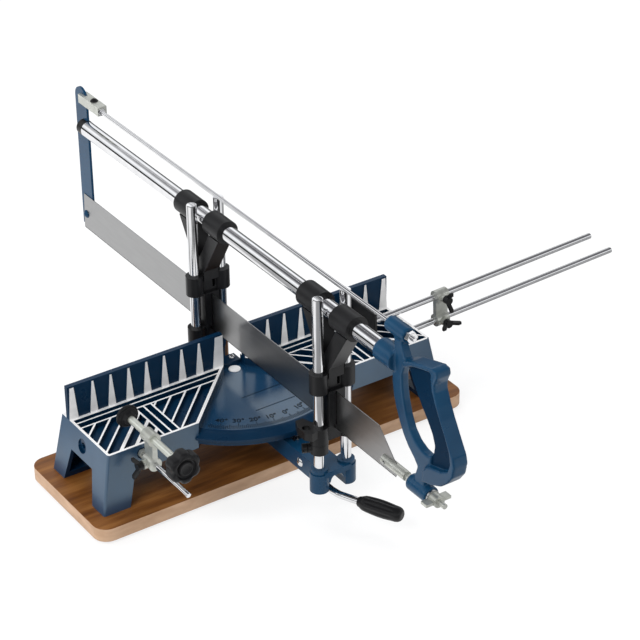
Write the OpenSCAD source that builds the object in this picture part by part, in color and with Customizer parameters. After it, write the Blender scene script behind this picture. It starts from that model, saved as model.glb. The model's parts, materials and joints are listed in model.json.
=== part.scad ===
// Manual mitre saw: a board, a ribbed casting with two fence halves and a graduated sector,
// an arm that swings under it, two pairs of posts, and a framed saw on a sliding tube.
// The origin lies on the board's underside below the swing pivot; +X right, +Y back, +Z up.
// Heights named "..._z" are taken from the board's top unless their comment says otherwise.

/* [Base board] */
// How far the board reaches past each end of the tables
board_end = 25.75; // [18:0.25:58]
// Depth of the board, front to back
board_depth = 136; // [130:1:160]
// How far the board reaches in front of the fence
board_front = 96; // [90:1:110]
// Thickness of the board
board_t = 13.5; // [11:0.5:20]
// Radius of the board's corners
board_r = 14; // [5:1:20]
// Diameter of a rubber foot
foot_d = 20; // [12:1:26]
// Height of a rubber foot
foot_t = 3; // [2:0.5:6]
// Distance of a foot's middle from the board's edges
foot_in = 20; // [15:1:28]

/* [Casting] */
// Length of both half tables together, at their top
table_l = 354.5; // [345:0.5:362]
// Depth of the tables in front of the fence
table_depth = 70.65; // [68:0.05:74]
// Height of the tables' top
table_h = 58.5; // [56:0.5:62]
// Height of the lower edge of the walls
skirt_z = 33.5; // [33:0.5:36]
// Thickness of the walls
wall = 4; // [3:0.25:5]
// Half of the gap between the fence halves
gap_half = 12; // [11.8:0.1:14]
// Lean of the end walls, in degrees
end_lean = 10.7; // [0:0.1:12]
// Lean of the front wall, in degrees
front_lean = 5.8; // [0:0.1:6]
// Lean of the back of the legs, in degrees
back_lean = 4.2; // [0:0.1:6]
// Depth behind the fence's face between the legs
back_depth = 9; // [8:0.5:10]
// Depth behind the fence's face at the legs, at the tables' top
leg_back = 14; // [12:0.5:16]
// Width of a leg at its foot
leg_w = 27.5; // [22:0.5:32]
// How much wider a leg is at the walls' lower edge
leg_flare = 8.5; // [2:0.5:12]
// Front of the end wall's arch at the board, in front of the fence
arch_front = 54.5; // [48:0.5:56]
// Back of the end wall's arch at the board, in front of the fence
arch_back = 2; // [0:0.5:6]
// How much the arch narrows towards its top, at its front
arch_rake_front = 7.7; // [4:0.1:10]
// How much the arch narrows towards its top, at its back
arch_rake_back = 6.5; // [4:0.1:10]
// Thickness of the plate in the foot of a leg
leg_plate_t = 6; // [4:0.5:10]
// Shank diameter of the leg screws
leg_screw_d = 5; // [4:0.5:6]
// Head diameter of the leg screws
leg_screw_head_d = 9; // [8:0.5:12]
// Head height of the leg screws
leg_screw_head_h = 3; // [2.5:0.25:5]

/* [Table ribs] */
// Depth of the pockets between the ribs
pocket_d = 5; // [3:0.5:6]
// Thickness of the tables' plate below the pockets
floor_t = 3.5; // [2.5:0.5:5]
// Width of a rib
rib_w = 1.8; // [1.2:0.1:2.6]
// Width of the border round the pockets
border_w = 2.6; // [2:0.1:4]
// Spacing of the ribs that run along the fence
long_pitch = 8.5; // [7:0.25:10]
// Spacing of the slanted ribs, measured along the fence
slant_pitch = 16; // [12:0.5:20]
// Distance of the first cross rib from the middle of the saw
cross_first = 102; // [98:1:110]
// Spacing of the cross ribs
cross_pitch = 8; // [6:0.5:10]

/* [Fence] */
// Height of the fence above the tables
fence_h = 34.6; // [28:0.2:38]
// Thickness of the fence behind its pads
fence_t = 5; // [4:0.25:6]
// How far the pads stand out
pad_d = 1; // [0.5:0.1:1.5]
// Distance of the first pad's middle from the middle of the saw
pad_first = 38.13; // [36:0.1:40]
// Spacing of the pads
pad_pitch = 18.87; // [17.5:0.1:19.5]
// Width of a pad at the table
pad_base = 8.4; // [6:0.2:10]
// Width of a pad at its top
pad_top = 2; // [1:0.2:4]
// Height of the pads above the tables
pad_h = 33.5; // [27:0.5:34]
// Width of the pad beside the gap, at the table
inner_pad_w = 11.7; // [8:0.1:14]
// Width of the pad at the fence's end, at the table
outer_pad_w = 9.5; // [6:0.1:11]

/* [Sector] */
// Radius of the graduated sector
sector_r = 114; // [108:0.5:120]
// Height of the sector's face
sector_z = 50; // [47:0.5:52]
// Thickness of the sector
sector_t = 6; // [4:0.5:7]
// Width of the sector's rim
rim_w = 11; // [8:0.5:16]
// Height of the rim's upper band
rim_t = 7.5; // [6.5:0.25:9]
// Width of the slope round the sector's top
slope_w = 10; // [6:0.5:10.5]
// Height of the slope round the sector's top
slope_h = 5; // [3:0.25:6]
// Height of the rim's lower band
band_h = 4.5; // [3:0.25:5.5]
// How far the lower band stands back from the upper one
band_in = 2; // [1:0.25:4]
// Width of a locking notch under the rim
notch_w = 3; // [2.5:0.25:4]
// Depth of a locking notch
notch_d = 2; // [1:0.25:3]
// Wall of the band left in front of a locking notch
notch_wall = 3; // [2:0.25:4]
// How far the bridge reaches behind the fence's face
bridge_back = 20; // [14:0.5:22]
// Height of the bridge's top
bridge_z = 54; // [52:0.5:56]
// Diameter of the boss under the sector
hub_d = 23; // [18:0.5:23]

/* [Pivot] */
// Diameter of the pivot pin
pivot_d = 8; // [6:0.5:10]
// Diameter of the pivot pin's head
pivot_head_d = 11.5; // [9:0.25:14]
// Height of the pivot pin's head
pivot_head_h = 1; // [0.6:0.1:2]
// Width of the pivot nut
pivot_nut_w = 15; // [12:0.5:18]
// Height of the pivot nut
pivot_nut_h = 6; // [4:0.5:7]
// Diameter of the small screw behind the fence
rear_screw_d = 6; // [4:0.5:8]
// Height of that screw's head
rear_screw_h = 3; // [2:0.25:4]

/* [Arm] */
// Width of the arm
arm_w = 25; // [22:0.5:27]
// Height of the arm's underside
arm_bottom = 12.5; // [11:0.5:14]
// Height of the arm's top
arm_top = 31.5; // [29:0.5:32]
// Thickness of the arm's walls
arm_wall = 3.5; // [2.5:0.25:4]
// Distance from the pivot to the front posts
front_reach = 165; // [150:1:175]
// Distance from the pivot to the rear posts
rear_reach = 43.5; // [42:0.5:50]
// Half of the distance between two posts
post_half = 14.5; // [14.5:0.1:16]
// Diameter of a post's boss
boss_d = 18; // [15:0.5:20]
// Height of the lower step of a boss
boss_top = 32; // [30:0.5:34]
// Diameter of the upper step of a boss
step_d = 16; // [14:0.5:17]
// Height of the top of a boss
step_top = 36; // [35:0.5:38]
// Height of the web's top between the bosses
web_top = 34; // [32.5:0.5:35]
// Radius of the arch under the web
arch_r = 7; // [5:0.5:8]
// Distance from the front posts back to the lever's pin
pin_back = 35; // [25:1:40]
// Height of the lever's pin
pin_z = 21.5; // [20:0.5:23]
// Diameter of the lever's pin
pin_d = 6; // [4:0.5:7]
// Diameter of the pin's heads
pin_head_d = 9; // [8:0.5:11]
// Height of the pin's domed heads
pin_head_h = 2.2; // [1.5:0.1:3]

/* [Posts] */
// Diameter of a post
post_d = 10; // [8:0.5:10]
// How far the posts reach above the tube's axis
post_over = 17.1; // [10:0.1:40]
// Height of a post's lower end
post_bottom = 15; // [14:0.5:20]
// Height of the rounded end of a post
post_dome = 1.5; // [0.5:0.1:2.5]

/* [Lock lever] */
// Diameter of the lever's rod
lever_d = 7; // [5:0.25:7]
// Height of the rod in front of the arm
lever_z = 10; // [8.5:0.5:11]
// Diameter of the lever's hub on the pin
lever_hub_d = 12; // [10:0.5:13]
// Length of the lever's grip
grip_l = 45; // [35:1:60]
// Diameter of the grip where the rod enters
grip_near_d = 10; // [9:0.5:12]
// Diameter of the grip at its widest
grip_mid_d = 16.6; // [14:0.2:18]
// Diameter of the grip at its end
grip_end_d = 14.5; // [11:0.5:16]
// Angle of the grip to the right, in degrees
grip_turn = 25; // [10:1:30]
// Height of the pawl's tip
pawl_tip_z = 37.7; // [37:0.1:37.7]
// Thickness of the pawl
pawl_t = 2.2; // [1.6:0.1:2.4]
// Width of the pawl, along the arm
pawl_w = 6; // [4:0.5:8]
// Distance from the sector's edge in to the pawl's middle
pawl_in = 9; // [7:0.5:10]

/* [Depth stop] */
// Diameter of the depth collar
collar_d = 16.6; // [15:0.2:18]
// Height of the collar's lower end
collar_z = 53.4; // [53:0.1:54]
// Height of the collar itself
collar_h = 10.2; // [8:0.2:10.2]
// Angle of the collar's screw towards the back, in degrees
screw_turn = 25.6; // [10:0.2:40]
// Diameter of the screw's head
depth_head_d = 9; // [7:0.5:10]
// Height of the screw's head
depth_head_h = 4.5; // [3:0.5:6]
// Distance from the post's middle to the screw's head
depth_head_out = 11; // [10.6:0.2:14]
// Diameter of the screw's shank
depth_screw_d = 4; // [3:0.25:5]

/* [Blade guides] */
// Diameter of a guide's sleeve
sleeve_d = 17; // [15:0.5:18]
// Height of the lower sleeves' lower end
low_z = 64; // [64:0.5:66]
// Length of the lower sleeves
low_h = 17; // [12:0.5:18]
// Height of the upper sleeves' lower end
up_z = 117; // [116.5:0.5:120]
// Length of the upper sleeves
up_h = 20; // [15:0.5:22]
// Thickness of the plate between the sleeves
guide_t = 7; // [5:0.5:9]
// Width of a guide's neck and struts
neck_w = 16; // [12:0.5:16]
// Height of the neck's top
neck_top = 152; // [148:0.5:156]
// Outer diameter of a front ring
front_ring_d = 24; // [21:0.5:25]
// Outer diameter of a rear ring
rear_ring_d = 23; // [21:0.5:25]
// Length of a ring
ring_l = 26; // [18:0.5:28]
// Distance from the posts to a ring's middle
ring_out = 25.5; // [23:0.5:27]
// Width of the block that guides the blade
block_w = 16; // [12:0.5:16]
// Depth of that block
block_depth = 14; // [10:0.5:16]
// Play of the blade in its slot, on each side
blade_play = 0.3; // [0.3:0.05:0.6]
// Thickness of the spines behind the block
spine_t = 4; // [3:0.25:5]
// Thickness of the lug beside the front guide
lug_t = 8; // [5:0.5:9]
// Diameter of the lug's hole
lug_hole_d = 8; // [5:0.5:10]

/* [Saw frame] */
// Diameter of the tube
tube_d = 16; // [14:0.25:16]
// Height of the tube's axis
tube_z = 195.2; // [190:0.2:200]
// Wall thickness of the tube
tube_wall = 1.5; // [1:0.1:2.5]
// Front end of the tube, in front of the fence
tube_front = 252; // [245:1:256]
// Rear end of the tube, behind the fence's face
tube_back = 267; // [260:1:267]
// Length of the tube's end plug outside the tube
plug_out = 9; // [6:0.5:12]
// Height of the tie rod's axis above the tube's axis
tie_up = 31.2; // [27:0.2:35]
// Diameter of the tie rod
tie_d = 4; // [3:0.25:5]
// Gap between the tube's rear end and the rear strip
strip_gap = 1; // [1:0.5:3]
// Width of the rear strip
strip_w = 22; // [18:0.5:24]
// Thickness of the rear strip
strip_t = 2.5; // [2:0.25:3.5]
// Height of the rear strip's lower end
strip_bottom = 80; // [78:0.5:84]
// How far the strip reaches above the tie rod's axis
strip_over = 10.1; // [8:0.1:13]
// How far the clevis reaches in front of the strip's front edge
clevis_ahead = 31; // [28:0.5:38]
// How far the clevis reaches behind the strip's front edge
clevis_behind = 9; // [7:0.5:14]
// Width of the clevis
clevis_w = 10; // [9:0.5:12]
// Height of the clevis
clevis_h = 9.4; // [8:0.2:11]

/* [Blade] */
// Thickness of the blade
blade_t = 0.8; // [0.6:0.05:1]
// Height of the blade's toothed edge
blade_z = 75.5; // [75:0.5:78]
// Width of the blade
blade_w = 40; // [34:0.5:40]
// Front tip of the blade
blade_front = 263; // [258:0.5:266]
// How far the blade reaches behind the strip's front edge
blade_behind = 19; // [16:0.5:21]
// Height of the blade's rear screw
blade_screw_z = 93; // [90:0.5:98]
// Distance of the blade's rear screw behind the strip's front edge
blade_screw_behind = 13; // [9:0.5:15]
// Height of the blade holder's axis
holder_z = 85.5; // [84:0.5:87]
// Diameter of the blade holder
holder_d = 9; // [8:0.25:10]
// Rear end of the holder
holder_back = 244.5; // [242:0.5:246]
// Front end of the holder
holder_front = 278.5; // [275:0.5:280]
// Diameter of the holder's pin
holder_pin_d = 3; // [2:0.25:4]
// Distance of the holder's pin in front of the fence
holder_pin_y = 250; // [249:0.5:252]
// Side of the square draw bar
draw_w = 5; // [4:0.25:6]
// Front end of the draw bar's thread
draw_front = 333; // [329:0.5:338]

/* [Handle] */
// Depth of the handle's outline
handle_l = 113; // [109:1:117]
// How far the handle reaches above the tie rod's axis
handle_over = 6.6; // [4:0.1:10]
// Distance of the handle's rear edge in front of the fence
handle_y = 240; // [236:0.5:242]
// Height of the outline's lower end
handle_z = 83; // [81:0.5:85]
// Thickness of the handle's frame
handle_t = 8; // [6:0.5:10]
// Thickness of the grip's rim, across the saw
grip_t = 15; // [12:0.5:18]
// Thickness of the web between the frame and the rim
web_t = 4; // [3:0.25:5]
// Diameter of the handle's tube socket
socket_d = 21; // [19:0.5:23]
// Length of the tube socket
socket_l = 24; // [20:0.5:28]
// Diameter of the handle's upper boss
upper_boss_d = 14; // [11:0.5:15]
// Rear end of the upper boss
upper_boss_y = 252; // [250:0.5:254]
// Length of the upper boss
upper_boss_l = 27; // [22:0.5:29]
// Diameter of the handle's lower boss
lower_boss_d = 16; // [12:0.5:17]
// Rear end of the lower boss
lower_boss_y = 286; // [284:0.5:287]
// Length of the lower boss
lower_boss_l = 28; // [24:0.5:29]
// Diameter of the washer and of the nut's base
washer_d = 13; // [11:0.5:15]
// Thickness of the washer
washer_t = 2; // [1:0.25:2.5]
// Length of the tension nut
nut_l = 9; // [7:0.5:10]
// Span of the tension nut's wings
nut_span = 26; // [20:0.5:30]

/* [Brackets] */
// Distance between a bracket's two rings
ring_gap = 26.6; // [25:0.1:28]
// Outer diameter of the rings
bracket_d = 13; // [11:0.5:14]
// Length of a bracket along its rods
bracket_l = 14; // [11:0.5:16]
// Thickness of the web between the rings
bracket_web = 5; // [3.5:0.25:7]
// Diameter of a wing screw's boss
wing_boss_d = 9; // [7:0.5:10]
// Distance from a rod's axis to the wing screw's shoulder
wing_out = 10; // [9.5:0.25:12]
// Span of a wing
wing_span = 22; // [16:0.5:26]
// Height of a wing along its screw
wing_h = 10; // [7:0.5:12]
// Thickness of a wing
wing_t = 3; // [2:0.25:4]
// Diameter of a wing screw's shank
wing_screw_d = 4; // [3:0.25:4.5]

/* [Work clamp] */
// Distance of the clamp from the table's left end
clamp_x = 34.25; // [31.25:0.5:37.25]
// Height of the clamp's rod
clamp_z = 49.5; // [48.5:0.5:50]
// Diameter of the clamp's rod
clamp_rod_d = 5; // [4:0.25:6]
// Length of the clamp's rod in front of the table's edge
clamp_rod_front = 81.35; // [77.35:0.5:85.35]
// Length of the clamp's rod behind the table's edge
clamp_rod_back = 8.65; // [6.65:0.5:9.65]
// Distance of the clamp's bracket in front of the table's edge
clamp_front = 24.35; // [23.35:0.5:27.35]
// Diameter of the spindle
spindle_d = 7; // [6:0.25:8]
// Distance of the spindle's rear end behind the table's edge
spindle_back = 20.65; // [19.65:0.5:21.65]
// Distance of the knob's front face in front of the table's edge
knob_front = 79.85; // [77.35:0.5:83.35]
// Thickness of the knob
knob_t = 14; // [10:0.5:16]
// Diameter of the knob
knob_d = 31.5; // [26:0.5:34]
// Number of the knob's lobes
knob_lobes = 6; // [5:1:8]
// Diameter of the swivel pad
pad_round_d = 22; // [18:0.5:26]
// Thickness of the swivel pad's disc
pad_round_t = 4; // [3:0.25:5]
// Length of the pad's socket
pad_socket_l = 4.5; // [3:0.25:5]
// Diameter of the pad's socket
pad_socket_d = 12; // [10:0.5:14]
// Width of the nut on the clamp's rod, across its corners
rod_nut_w = 9; // [8:0.25:9]
// Thickness of the nuts on the rods
rod_nut_t = 4; // [3:0.25:4.5]

/* [Length stop] */
// Distance of the stop's rods in front of the fence
stop_y = 33; // [30:0.5:34]
// Height of the support rod where it leaves the end wall
stop_z = 46.5; // [45:0.5:49]
// Rise of the stop's rods to the right, in degrees
stop_rise = 2; // [0:0.1:2.5]
// Diameter of the stop's rods
stop_rod_d = 6; // [5:0.25:7]
// Width of the nuts on the support rod, across their corners
stop_nut_w = 11.4; // [10:0.2:12]
// Length of the support rod outside the wall
support_l = 256; // [240:1:280]
// Length of the support rod inside the wall
support_in = 16; // [14:0.5:20]
// Distance from the end wall to the bracket
stop_bracket_x = 32; // [28:0.5:40]
// Left end of the sliding rod, from the end wall
stop_rod_left = 48; // [40:0.5:50]
// Right end of the sliding rod, from the end wall
stop_rod_right = 228; // [210:1:240]
// Thickness of the stop plate
stop_plate_t = 3; // [2:0.25:4]
// Width of the stop plate, front to back
stop_plate_w = 47.5; // [40:0.5:48]
// Distance of the stop plate's rear edge in front of the fence
stop_plate_y = 2.5; // [2:0.25:5]
// Height of the stop plate
stop_plate_h = 26; // [22:0.5:28]
// How far the stop plate reaches below its rod
stop_plate_low = 6.5; // [5.5:0.25:8]
// Length of the stop plate's hub
stop_hub_l = 8; // [6:0.5:10]
// Diameter of the stop plate's hub
stop_hub_d = 10; // [8.5:0.25:12]
// Height of the left end wall's hole
end_hole_z = 45.7; // [44:0.1:47]
// Distance of the left end wall's hole in front of the fence
end_hole_y = 26; // [22:0.5:30]
// Diameter of the round recess about the end walls' holes
end_recess_d = 14; // [12:0.5:16]

/* [Fits] */
// Running clearance of a shaft in its bore, on the radius
fit = 0.05; // [0.03:0.01:0.08]
// Gap between parts that move past each other
gap = 0.4; // [0.35:0.05:0.5]
// Overrun of every cut
cut = 1; // [0.5:0.1:1.5]
// Roundness of the exact curves
roundness = 48; // [36:4:96]

/* [Hidden] */
$fn = roundness;
deck = -sector_z - pivot_head_h;
board_bottom = deck - board_t;
board_l = table_l + 2 * board_end;
tie_z = tube_z + tie_up;
strip_top = tie_z + strip_over;
post_top = tube_z + post_over;
handle_h = tie_z + handle_over - handle_z;
strip_front = tube_back + strip_gap;
clevis_front = strip_front - clevis_ahead;
clevis_back = strip_front + clevis_behind;
blade_back = strip_front + blade_behind;
blade_screw_y = strip_front + blade_screw_behind;
pin_reach = front_reach - pin_back;
pawl_reach = sector_r - pawl_in;
end_x = table_l / 2;
clamp_at = end_x - clamp_x;
end_slope = tan(end_lean);
front_slope = tan(front_lean);
back_slope = tan(back_lean);
table_z = deck + table_h;
arm_z0 = deck + arm_bottom;
arm_z1 = deck + arm_top;
post_r = post_d / 2;
notch_angles = [-45, -36, -30, -22.5, -15, 0, 15, 22.5, 30, 36, 45];
leg_screw_x = end_x - leg_w * 0.35;
leg_screw_front = -table_depth + leg_w * 0.3;
leg_screw_back = leg_back - leg_w * 0.3;
upper_ring_z = clamp_z + ring_gap;
handle_frame_shares = [
    [0.186, 0.953], [0.310, 0.953], [0.292, 0.893], [0.319, 0.850], [0.354, 0.807], [0.381, 0.777],
    [0.368, 0.769], [0.327, 0.753], [0.301, 0.693], [0.306, 0.616], [0.325, 0.535], [0.361, 0.451],
    [0.413, 0.373], [0.482, 0.321], [0.568, 0.293], [0.637, 0.290], [0.681, 0.310], [0.673, 0.237],
    [0.655, 0.167], [0.614, 0.113], [0.584, 0.033], [0.460, 0.033], [0.478, 0.093], [0.512, 0.169],
    [0.460, 0.211], [0.391, 0.255], [0.329, 0.311], [0.277, 0.381], [0.233, 0.453], [0.200, 0.529],
    [0.183, 0.612], [0.182, 0.691], [0.195, 0.780], [0.206, 0.859]
];
handle_web_shares = [
    [0.327, 0.800], [0.451, 0.833], [0.606, 0.867], [0.699, 0.883], [0.717, 0.813], [0.726, 0.760],
    [0.767, 0.687], [0.819, 0.613], [0.871, 0.547], [0.918, 0.485], [0.956, 0.430], [0.973, 0.373],
    [0.950, 0.304], [0.867, 0.227], [0.726, 0.180], [0.637, 0.193], [0.619, 0.273], [0.681, 0.310],
    [0.696, 0.379], [0.661, 0.445], [0.601, 0.509], [0.533, 0.570], [0.473, 0.634], [0.412, 0.698],
    [0.368, 0.769], [0.345, 0.760]
];
handle_rim_shares = [
    [0.350, 0.810], [0.451, 0.847], [0.602, 0.880], [0.708, 0.903], [0.765, 0.897], [0.774, 0.860],
    [0.739, 0.803], [0.743, 0.757], [0.785, 0.682], [0.836, 0.606], [0.888, 0.539], [0.940, 0.473],
    [0.982, 0.422], [1.000, 0.371], [0.979, 0.293], [0.919, 0.231], [0.842, 0.179], [0.730, 0.141],
    [0.602, 0.113], [0.619, 0.193], [0.664, 0.240], [0.742, 0.259], [0.833, 0.277], [0.921, 0.315],
    [0.946, 0.374], [0.932, 0.439], [0.896, 0.497], [0.854, 0.552], [0.803, 0.619], [0.750, 0.690],
    [0.708, 0.760], [0.699, 0.800], [0.690, 0.867], [0.611, 0.853], [0.465, 0.820], [0.381, 0.783]
];

// A round bar along Y from y0 to y1.
module bar_y(d, y0, y1) {
    translate([0, y1, 0])
        rotate([90, 0, 0])
            cylinder(d = d, h = y1 - y0);
}

// A round bar along X from x0 to x1.
module bar_x(d, x0, x1) {
    translate([x0, 0, 0])
        rotate([0, 90, 0])
            cylinder(d = d, h = x1 - x0);
}

// A domed cap standing on z = 0.
module dome(d, h) {
    cap_r = (d * d / 4 + h * h) / (2 * h);
    intersection() {
        translate([0, 0, h - cap_r])
            sphere(r = cap_r);
        cylinder(d = d, h = h + cap_r);
    }
}

// A hexagonal nut of a given width across its corners, standing on z = 0.
module hex_nut(w, h, bore) {
    difference() {
        cylinder(d = w, h = h, $fn = 6);
        translate([0, 0, -cut])
            cylinder(d = bore, h = h + 2 * cut);
    }
}

module base_board() {
    color([0.45, 0.27, 0.15])
        translate([0, 0, board_bottom])
        difference() {
            union() {
                translate([-board_l / 2 + board_r, -board_front, 0])
                    cube([board_l - 2 * board_r, board_depth, board_t]);
                translate([-board_l / 2, -board_front + board_r, 0])
                    cube([board_l, board_depth - 2 * board_r, board_t]);
                for (sx = [-1, 1])
                    for (y = [-board_front + board_r, board_depth - board_front - board_r])
                        translate([sx * (board_l / 2 - board_r), y, 0])
                            cylinder(r = board_r, h = board_t);
            }
            at_leg_screws() {
                translate([0, 0, -cut])
                    cylinder(d = leg_screw_d + 2 * fit, h = board_t + 2 * cut);
                translate([0, 0, -cut])
                    cylinder(d = leg_screw_head_d + 2 * fit, h = leg_screw_head_h + cut);
            }
        }
}

module board_feet() {
    color([0.08, 0.08, 0.08])
        for (sx = [-1, 1])
            for (y = [-board_front + foot_in, board_depth - board_front - foot_in])
                translate([sx * (board_l / 2 - foot_in), y, board_bottom - foot_t])
                    cylinder(d = foot_d, h = foot_t);
}

module at_leg_screws() {
    for (sx = [-1, 1])
        for (y = [leg_screw_front, leg_screw_back])
            translate([sx * leg_screw_x, y, 0])
                children();
}

module leg_screws() {
    color([0.6, 0.6, 0.6])
        translate([0, 0, board_bottom])
        at_leg_screws() {
            cylinder(d = leg_screw_head_d, h = leg_screw_head_h);
            cylinder(d = leg_screw_d, h = board_t + leg_plate_t - cut);
        }
}

// The plan of one half table, carried down with no lean; inset moves its sides inwards.
module half_plan(inset, z0, z1) {
    far = table_l + table_depth;
    side = gap_half + inset;
    slant = gap_half + inset * sqrt(2);
    translate([0, 0, z0])
        linear_extrude(z1 - z0)
            polygon([[side, far], [side, slant - side], [slant + far, -far], [far * 2, far]]);
}

// Everything inside the leaning end wall, front wall and back; inset moves them inwards.
module lean_space(inset, back, z0, z1) {
    far = table_l;
    x0 = end_x + end_slope * (table_z - z0) - inset;
    x1 = end_x + end_slope * (table_z - z1) - inset;
    y0 = -table_depth - front_slope * (table_z - z0) + inset;
    y1 = -table_depth - front_slope * (table_z - z1) + inset;
    b0 = back + back_slope * (table_z - z0) - inset;
    b1 = back + back_slope * (table_z - z1) - inset;
    intersection() {
        translate([0, far, 0])
            rotate([90, 0, 0])
                linear_extrude(2 * far)
                    polygon([[0, z0], [x0, z0], [x1, z1], [0, z1]]);
        rotate([90, 0, 90])
            linear_extrude(far)
                polygon([[y0, z0], [b0, z0], [b1, z1], [y1, z1]]);
    }
}

// The space between the legs, seen from the front, and the space behind the back wall.
module between_legs(back) {
    foot_x = end_x + end_slope * table_h - leg_w;
    translate([0, table_l, 0])
        rotate([90, 0, 0])
            linear_extrude(2 * table_l)
                polygon([[-cut, deck - cut], [foot_x, deck - cut], [foot_x, deck],
                    [foot_x - leg_flare, deck + skirt_z], [-cut, deck + skirt_z]]);
    translate([-cut, back, deck - cut])
        cube([foot_x - leg_flare + cut, table_l, table_h + 2 * cut]);
}

module end_arch() {
    rotate([90, 0, 90])
        linear_extrude(table_l)
            polygon([[-arch_front, deck - cut], [-arch_front, deck],
                [-arch_front + arch_rake_front, deck + skirt_z],
                [-arch_back - arch_rake_back, deck + skirt_z], [-arch_back, deck],
                [-arch_back, deck - cut]]);
}

// Ribs of one half table as long bars, before they are trimmed to the table.
module rib_bars() {
    rib_z = table_z - pocket_d - cut / 2;
    rib_h = pocket_d + cut / 2;
    split_y = -2 * long_pitch;
    for (i = [1, 2])
        translate([0, -i * long_pitch - rib_w / 2, rib_z])
            cube([end_x, rib_w, rib_h]);
    for (i = [0, 1, 2])
        translate([cross_first + i * cross_pitch - rib_w / 2, -table_depth, rib_z])
            cube([rib_w, table_depth + split_y, rib_h]);
    intersection() {
        union()
            for (x = [slant_pitch * 2 : slant_pitch : end_x])
                translate([x, split_y, rib_z])
                    rotate([0, 0, -45])
                        translate([0, -rib_w / 2, 0])
                            cube([2 * table_depth, rib_w, rib_h]);
        union() {
            translate([0, -table_depth, rib_z - cut])
                cube([cross_first, table_depth + split_y, rib_h + 2 * cut]);
            translate([cross_first + 2 * cross_pitch, -table_depth, rib_z - cut])
                cube([end_x, table_depth + split_y, rib_h + 2 * cut]);
        }
    }
    intersection() {
        for (i = [0, 1, 2])
            translate([cross_first + 2 * cross_pitch, split_y - slant_pitch * (i + 0.5), rib_z])
                rotate([0, 0, -45])
                    translate([0, -rib_w / 2, 0])
                        cube([2 * table_depth, rib_w, rib_h]);
        translate([cross_first + 2 * cross_pitch, -table_depth, rib_z - cut])
            cube([end_x, table_depth + split_y, rib_h + 2 * cut]);
    }
}

// The part of a half table that the pockets take up.
module pocket_space() {
    intersection() {
        half_plan(border_w, table_z - pocket_d, table_z + cut);
        translate([0, -table_depth + border_w, table_z - pocket_d])
            cube([end_x - border_w, table_depth - 2 * border_w, pocket_d + cut]);
    }
}

// One pad on the fence: a bar that narrows upwards.
module fence_pad(x0, x1, top0, top1) {
    translate([0, pad_d, table_z])
        rotate([90, 0, 0])
            linear_extrude(pad_d)
                polygon([[x0, 0], [x1, 0], [top1, pad_h], [top0, pad_h]]);
}

module fence_half() {
    top_trim = (pad_base - pad_top) / 2;
    pads_reach = end_x - outer_pad_w - pad_base / 2 - pad_first;
    translate([gap_half, pad_d, table_z - floor_t])
        cube([end_x - gap_half, fence_t, fence_h + floor_t]);
    for (i = [0 : floor(pads_reach / pad_pitch)])
        fence_pad(pad_first + i * pad_pitch - pad_base / 2, pad_first + i * pad_pitch + pad_base / 2,
            pad_first + i * pad_pitch - pad_top / 2, pad_first + i * pad_pitch + pad_top / 2);
    fence_pad(gap_half, gap_half + inner_pad_w, gap_half, gap_half + inner_pad_w - top_trim);
    fence_pad(end_x - outer_pad_w, end_x, end_x - outer_pad_w + top_trim, end_x - pad_top);
}

module half_casting() {
    void_top = table_z - pocket_d - floor_t;
    foot_z = deck + leg_plate_t;
    difference() {
        intersection() {
            half_plan(0, deck, table_z);
            lean_space(0, leg_back, deck, table_z);
        }
        between_legs(back_depth);
        end_arch();
        difference() {
            intersection() {
                half_plan(wall, foot_z, void_top);
                lean_space(wall, leg_back, foot_z, void_top);
            }
            translate([0, back_depth - wall, deck])
                cube([end_x + end_slope * table_h - leg_w - leg_flare + wall, table_l, table_h]);
        }
        pocket_space();
    }
    intersection() {
        rib_bars();
        half_plan(border_w / 2, deck, table_z);
        lean_space(border_w / 2, leg_back, deck, table_z);
    }
    fence_half();
}

// The sector's body: a disc, its thick rim and the lower band.
module sector_rounds() {
    top = deck + sector_z;
    difference() {
        union() {
            translate([0, 0, top - rim_t])
                cylinder(r = sector_r, h = rim_t - slope_h);
            translate([0, 0, top - slope_h])
                cylinder(r1 = sector_r, r2 = sector_r - slope_w, h = slope_h);
        }
        translate([0, 0, top - rim_t - cut])
            cylinder(r = sector_r - rim_w, h = rim_t - sector_t + cut);
    }
    difference() {
        translate([0, 0, top - rim_t - band_h])
            cylinder(r = sector_r - band_in, h = band_h);
        translate([0, 0, top - rim_t - band_h - cut])
            cylinder(r = sector_r - rim_w, h = band_h + 2 * cut);
        for (a = notch_angles)
            rotate([0, 0, a])
                translate([-notch_w / 2, -sector_r + band_in + notch_wall, top - rim_t - band_h - cut])
                    cube([notch_w, rim_w, notch_d + cut]);
    }
}

module sector() {
    bite = wall / 2;
    front = -table_depth - wall / 2;
    intersection() {
        sector_rounds();
        translate([0, 0, deck])
            linear_extrude(table_h)
                polygon([[-gap_half - bite, 0], [-gap_half - bite + front, front], [-sector_r, front],
                    [-sector_r, -sector_r], [sector_r, -sector_r], [sector_r, front],
                    [gap_half + bite - front, front], [gap_half + bite, 0]]);
    }
    translate([-gap_half - bite, -bite, deck + sector_z - sector_t])
        cube([2 * (gap_half + bite), bite + back_depth, sector_t]);
    translate([-gap_half + gap, back_depth - bite, deck + sector_z - sector_t])
        cube([2 * (gap_half - gap), bridge_back - back_depth + bite, bridge_z - sector_z + sector_t]);
    translate([0, 0, deck + arm_top + gap])
        cylinder(d = hub_d, h = sector_z - sector_t / 2 - arm_top - gap);
}

// The recess and hole for a rod in the left end wall.
module end_hole() {
    x = end_x + end_slope * (table_h - end_hole_z);
    translate([-x, -end_hole_y, deck + end_hole_z]) {
        bar_x(stop_rod_d + 2 * fit, -wall, 3 * wall);
        bar_x(end_recess_d, -2 * wall, wall * 0.4);
    }
}

module end_boss() {
    x = end_x + end_slope * (table_h - end_hole_z);
    translate([-x, -end_hole_y, deck + end_hole_z])
        bar_x(end_recess_d, wall * 0.6, 2 * wall);
}

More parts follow.
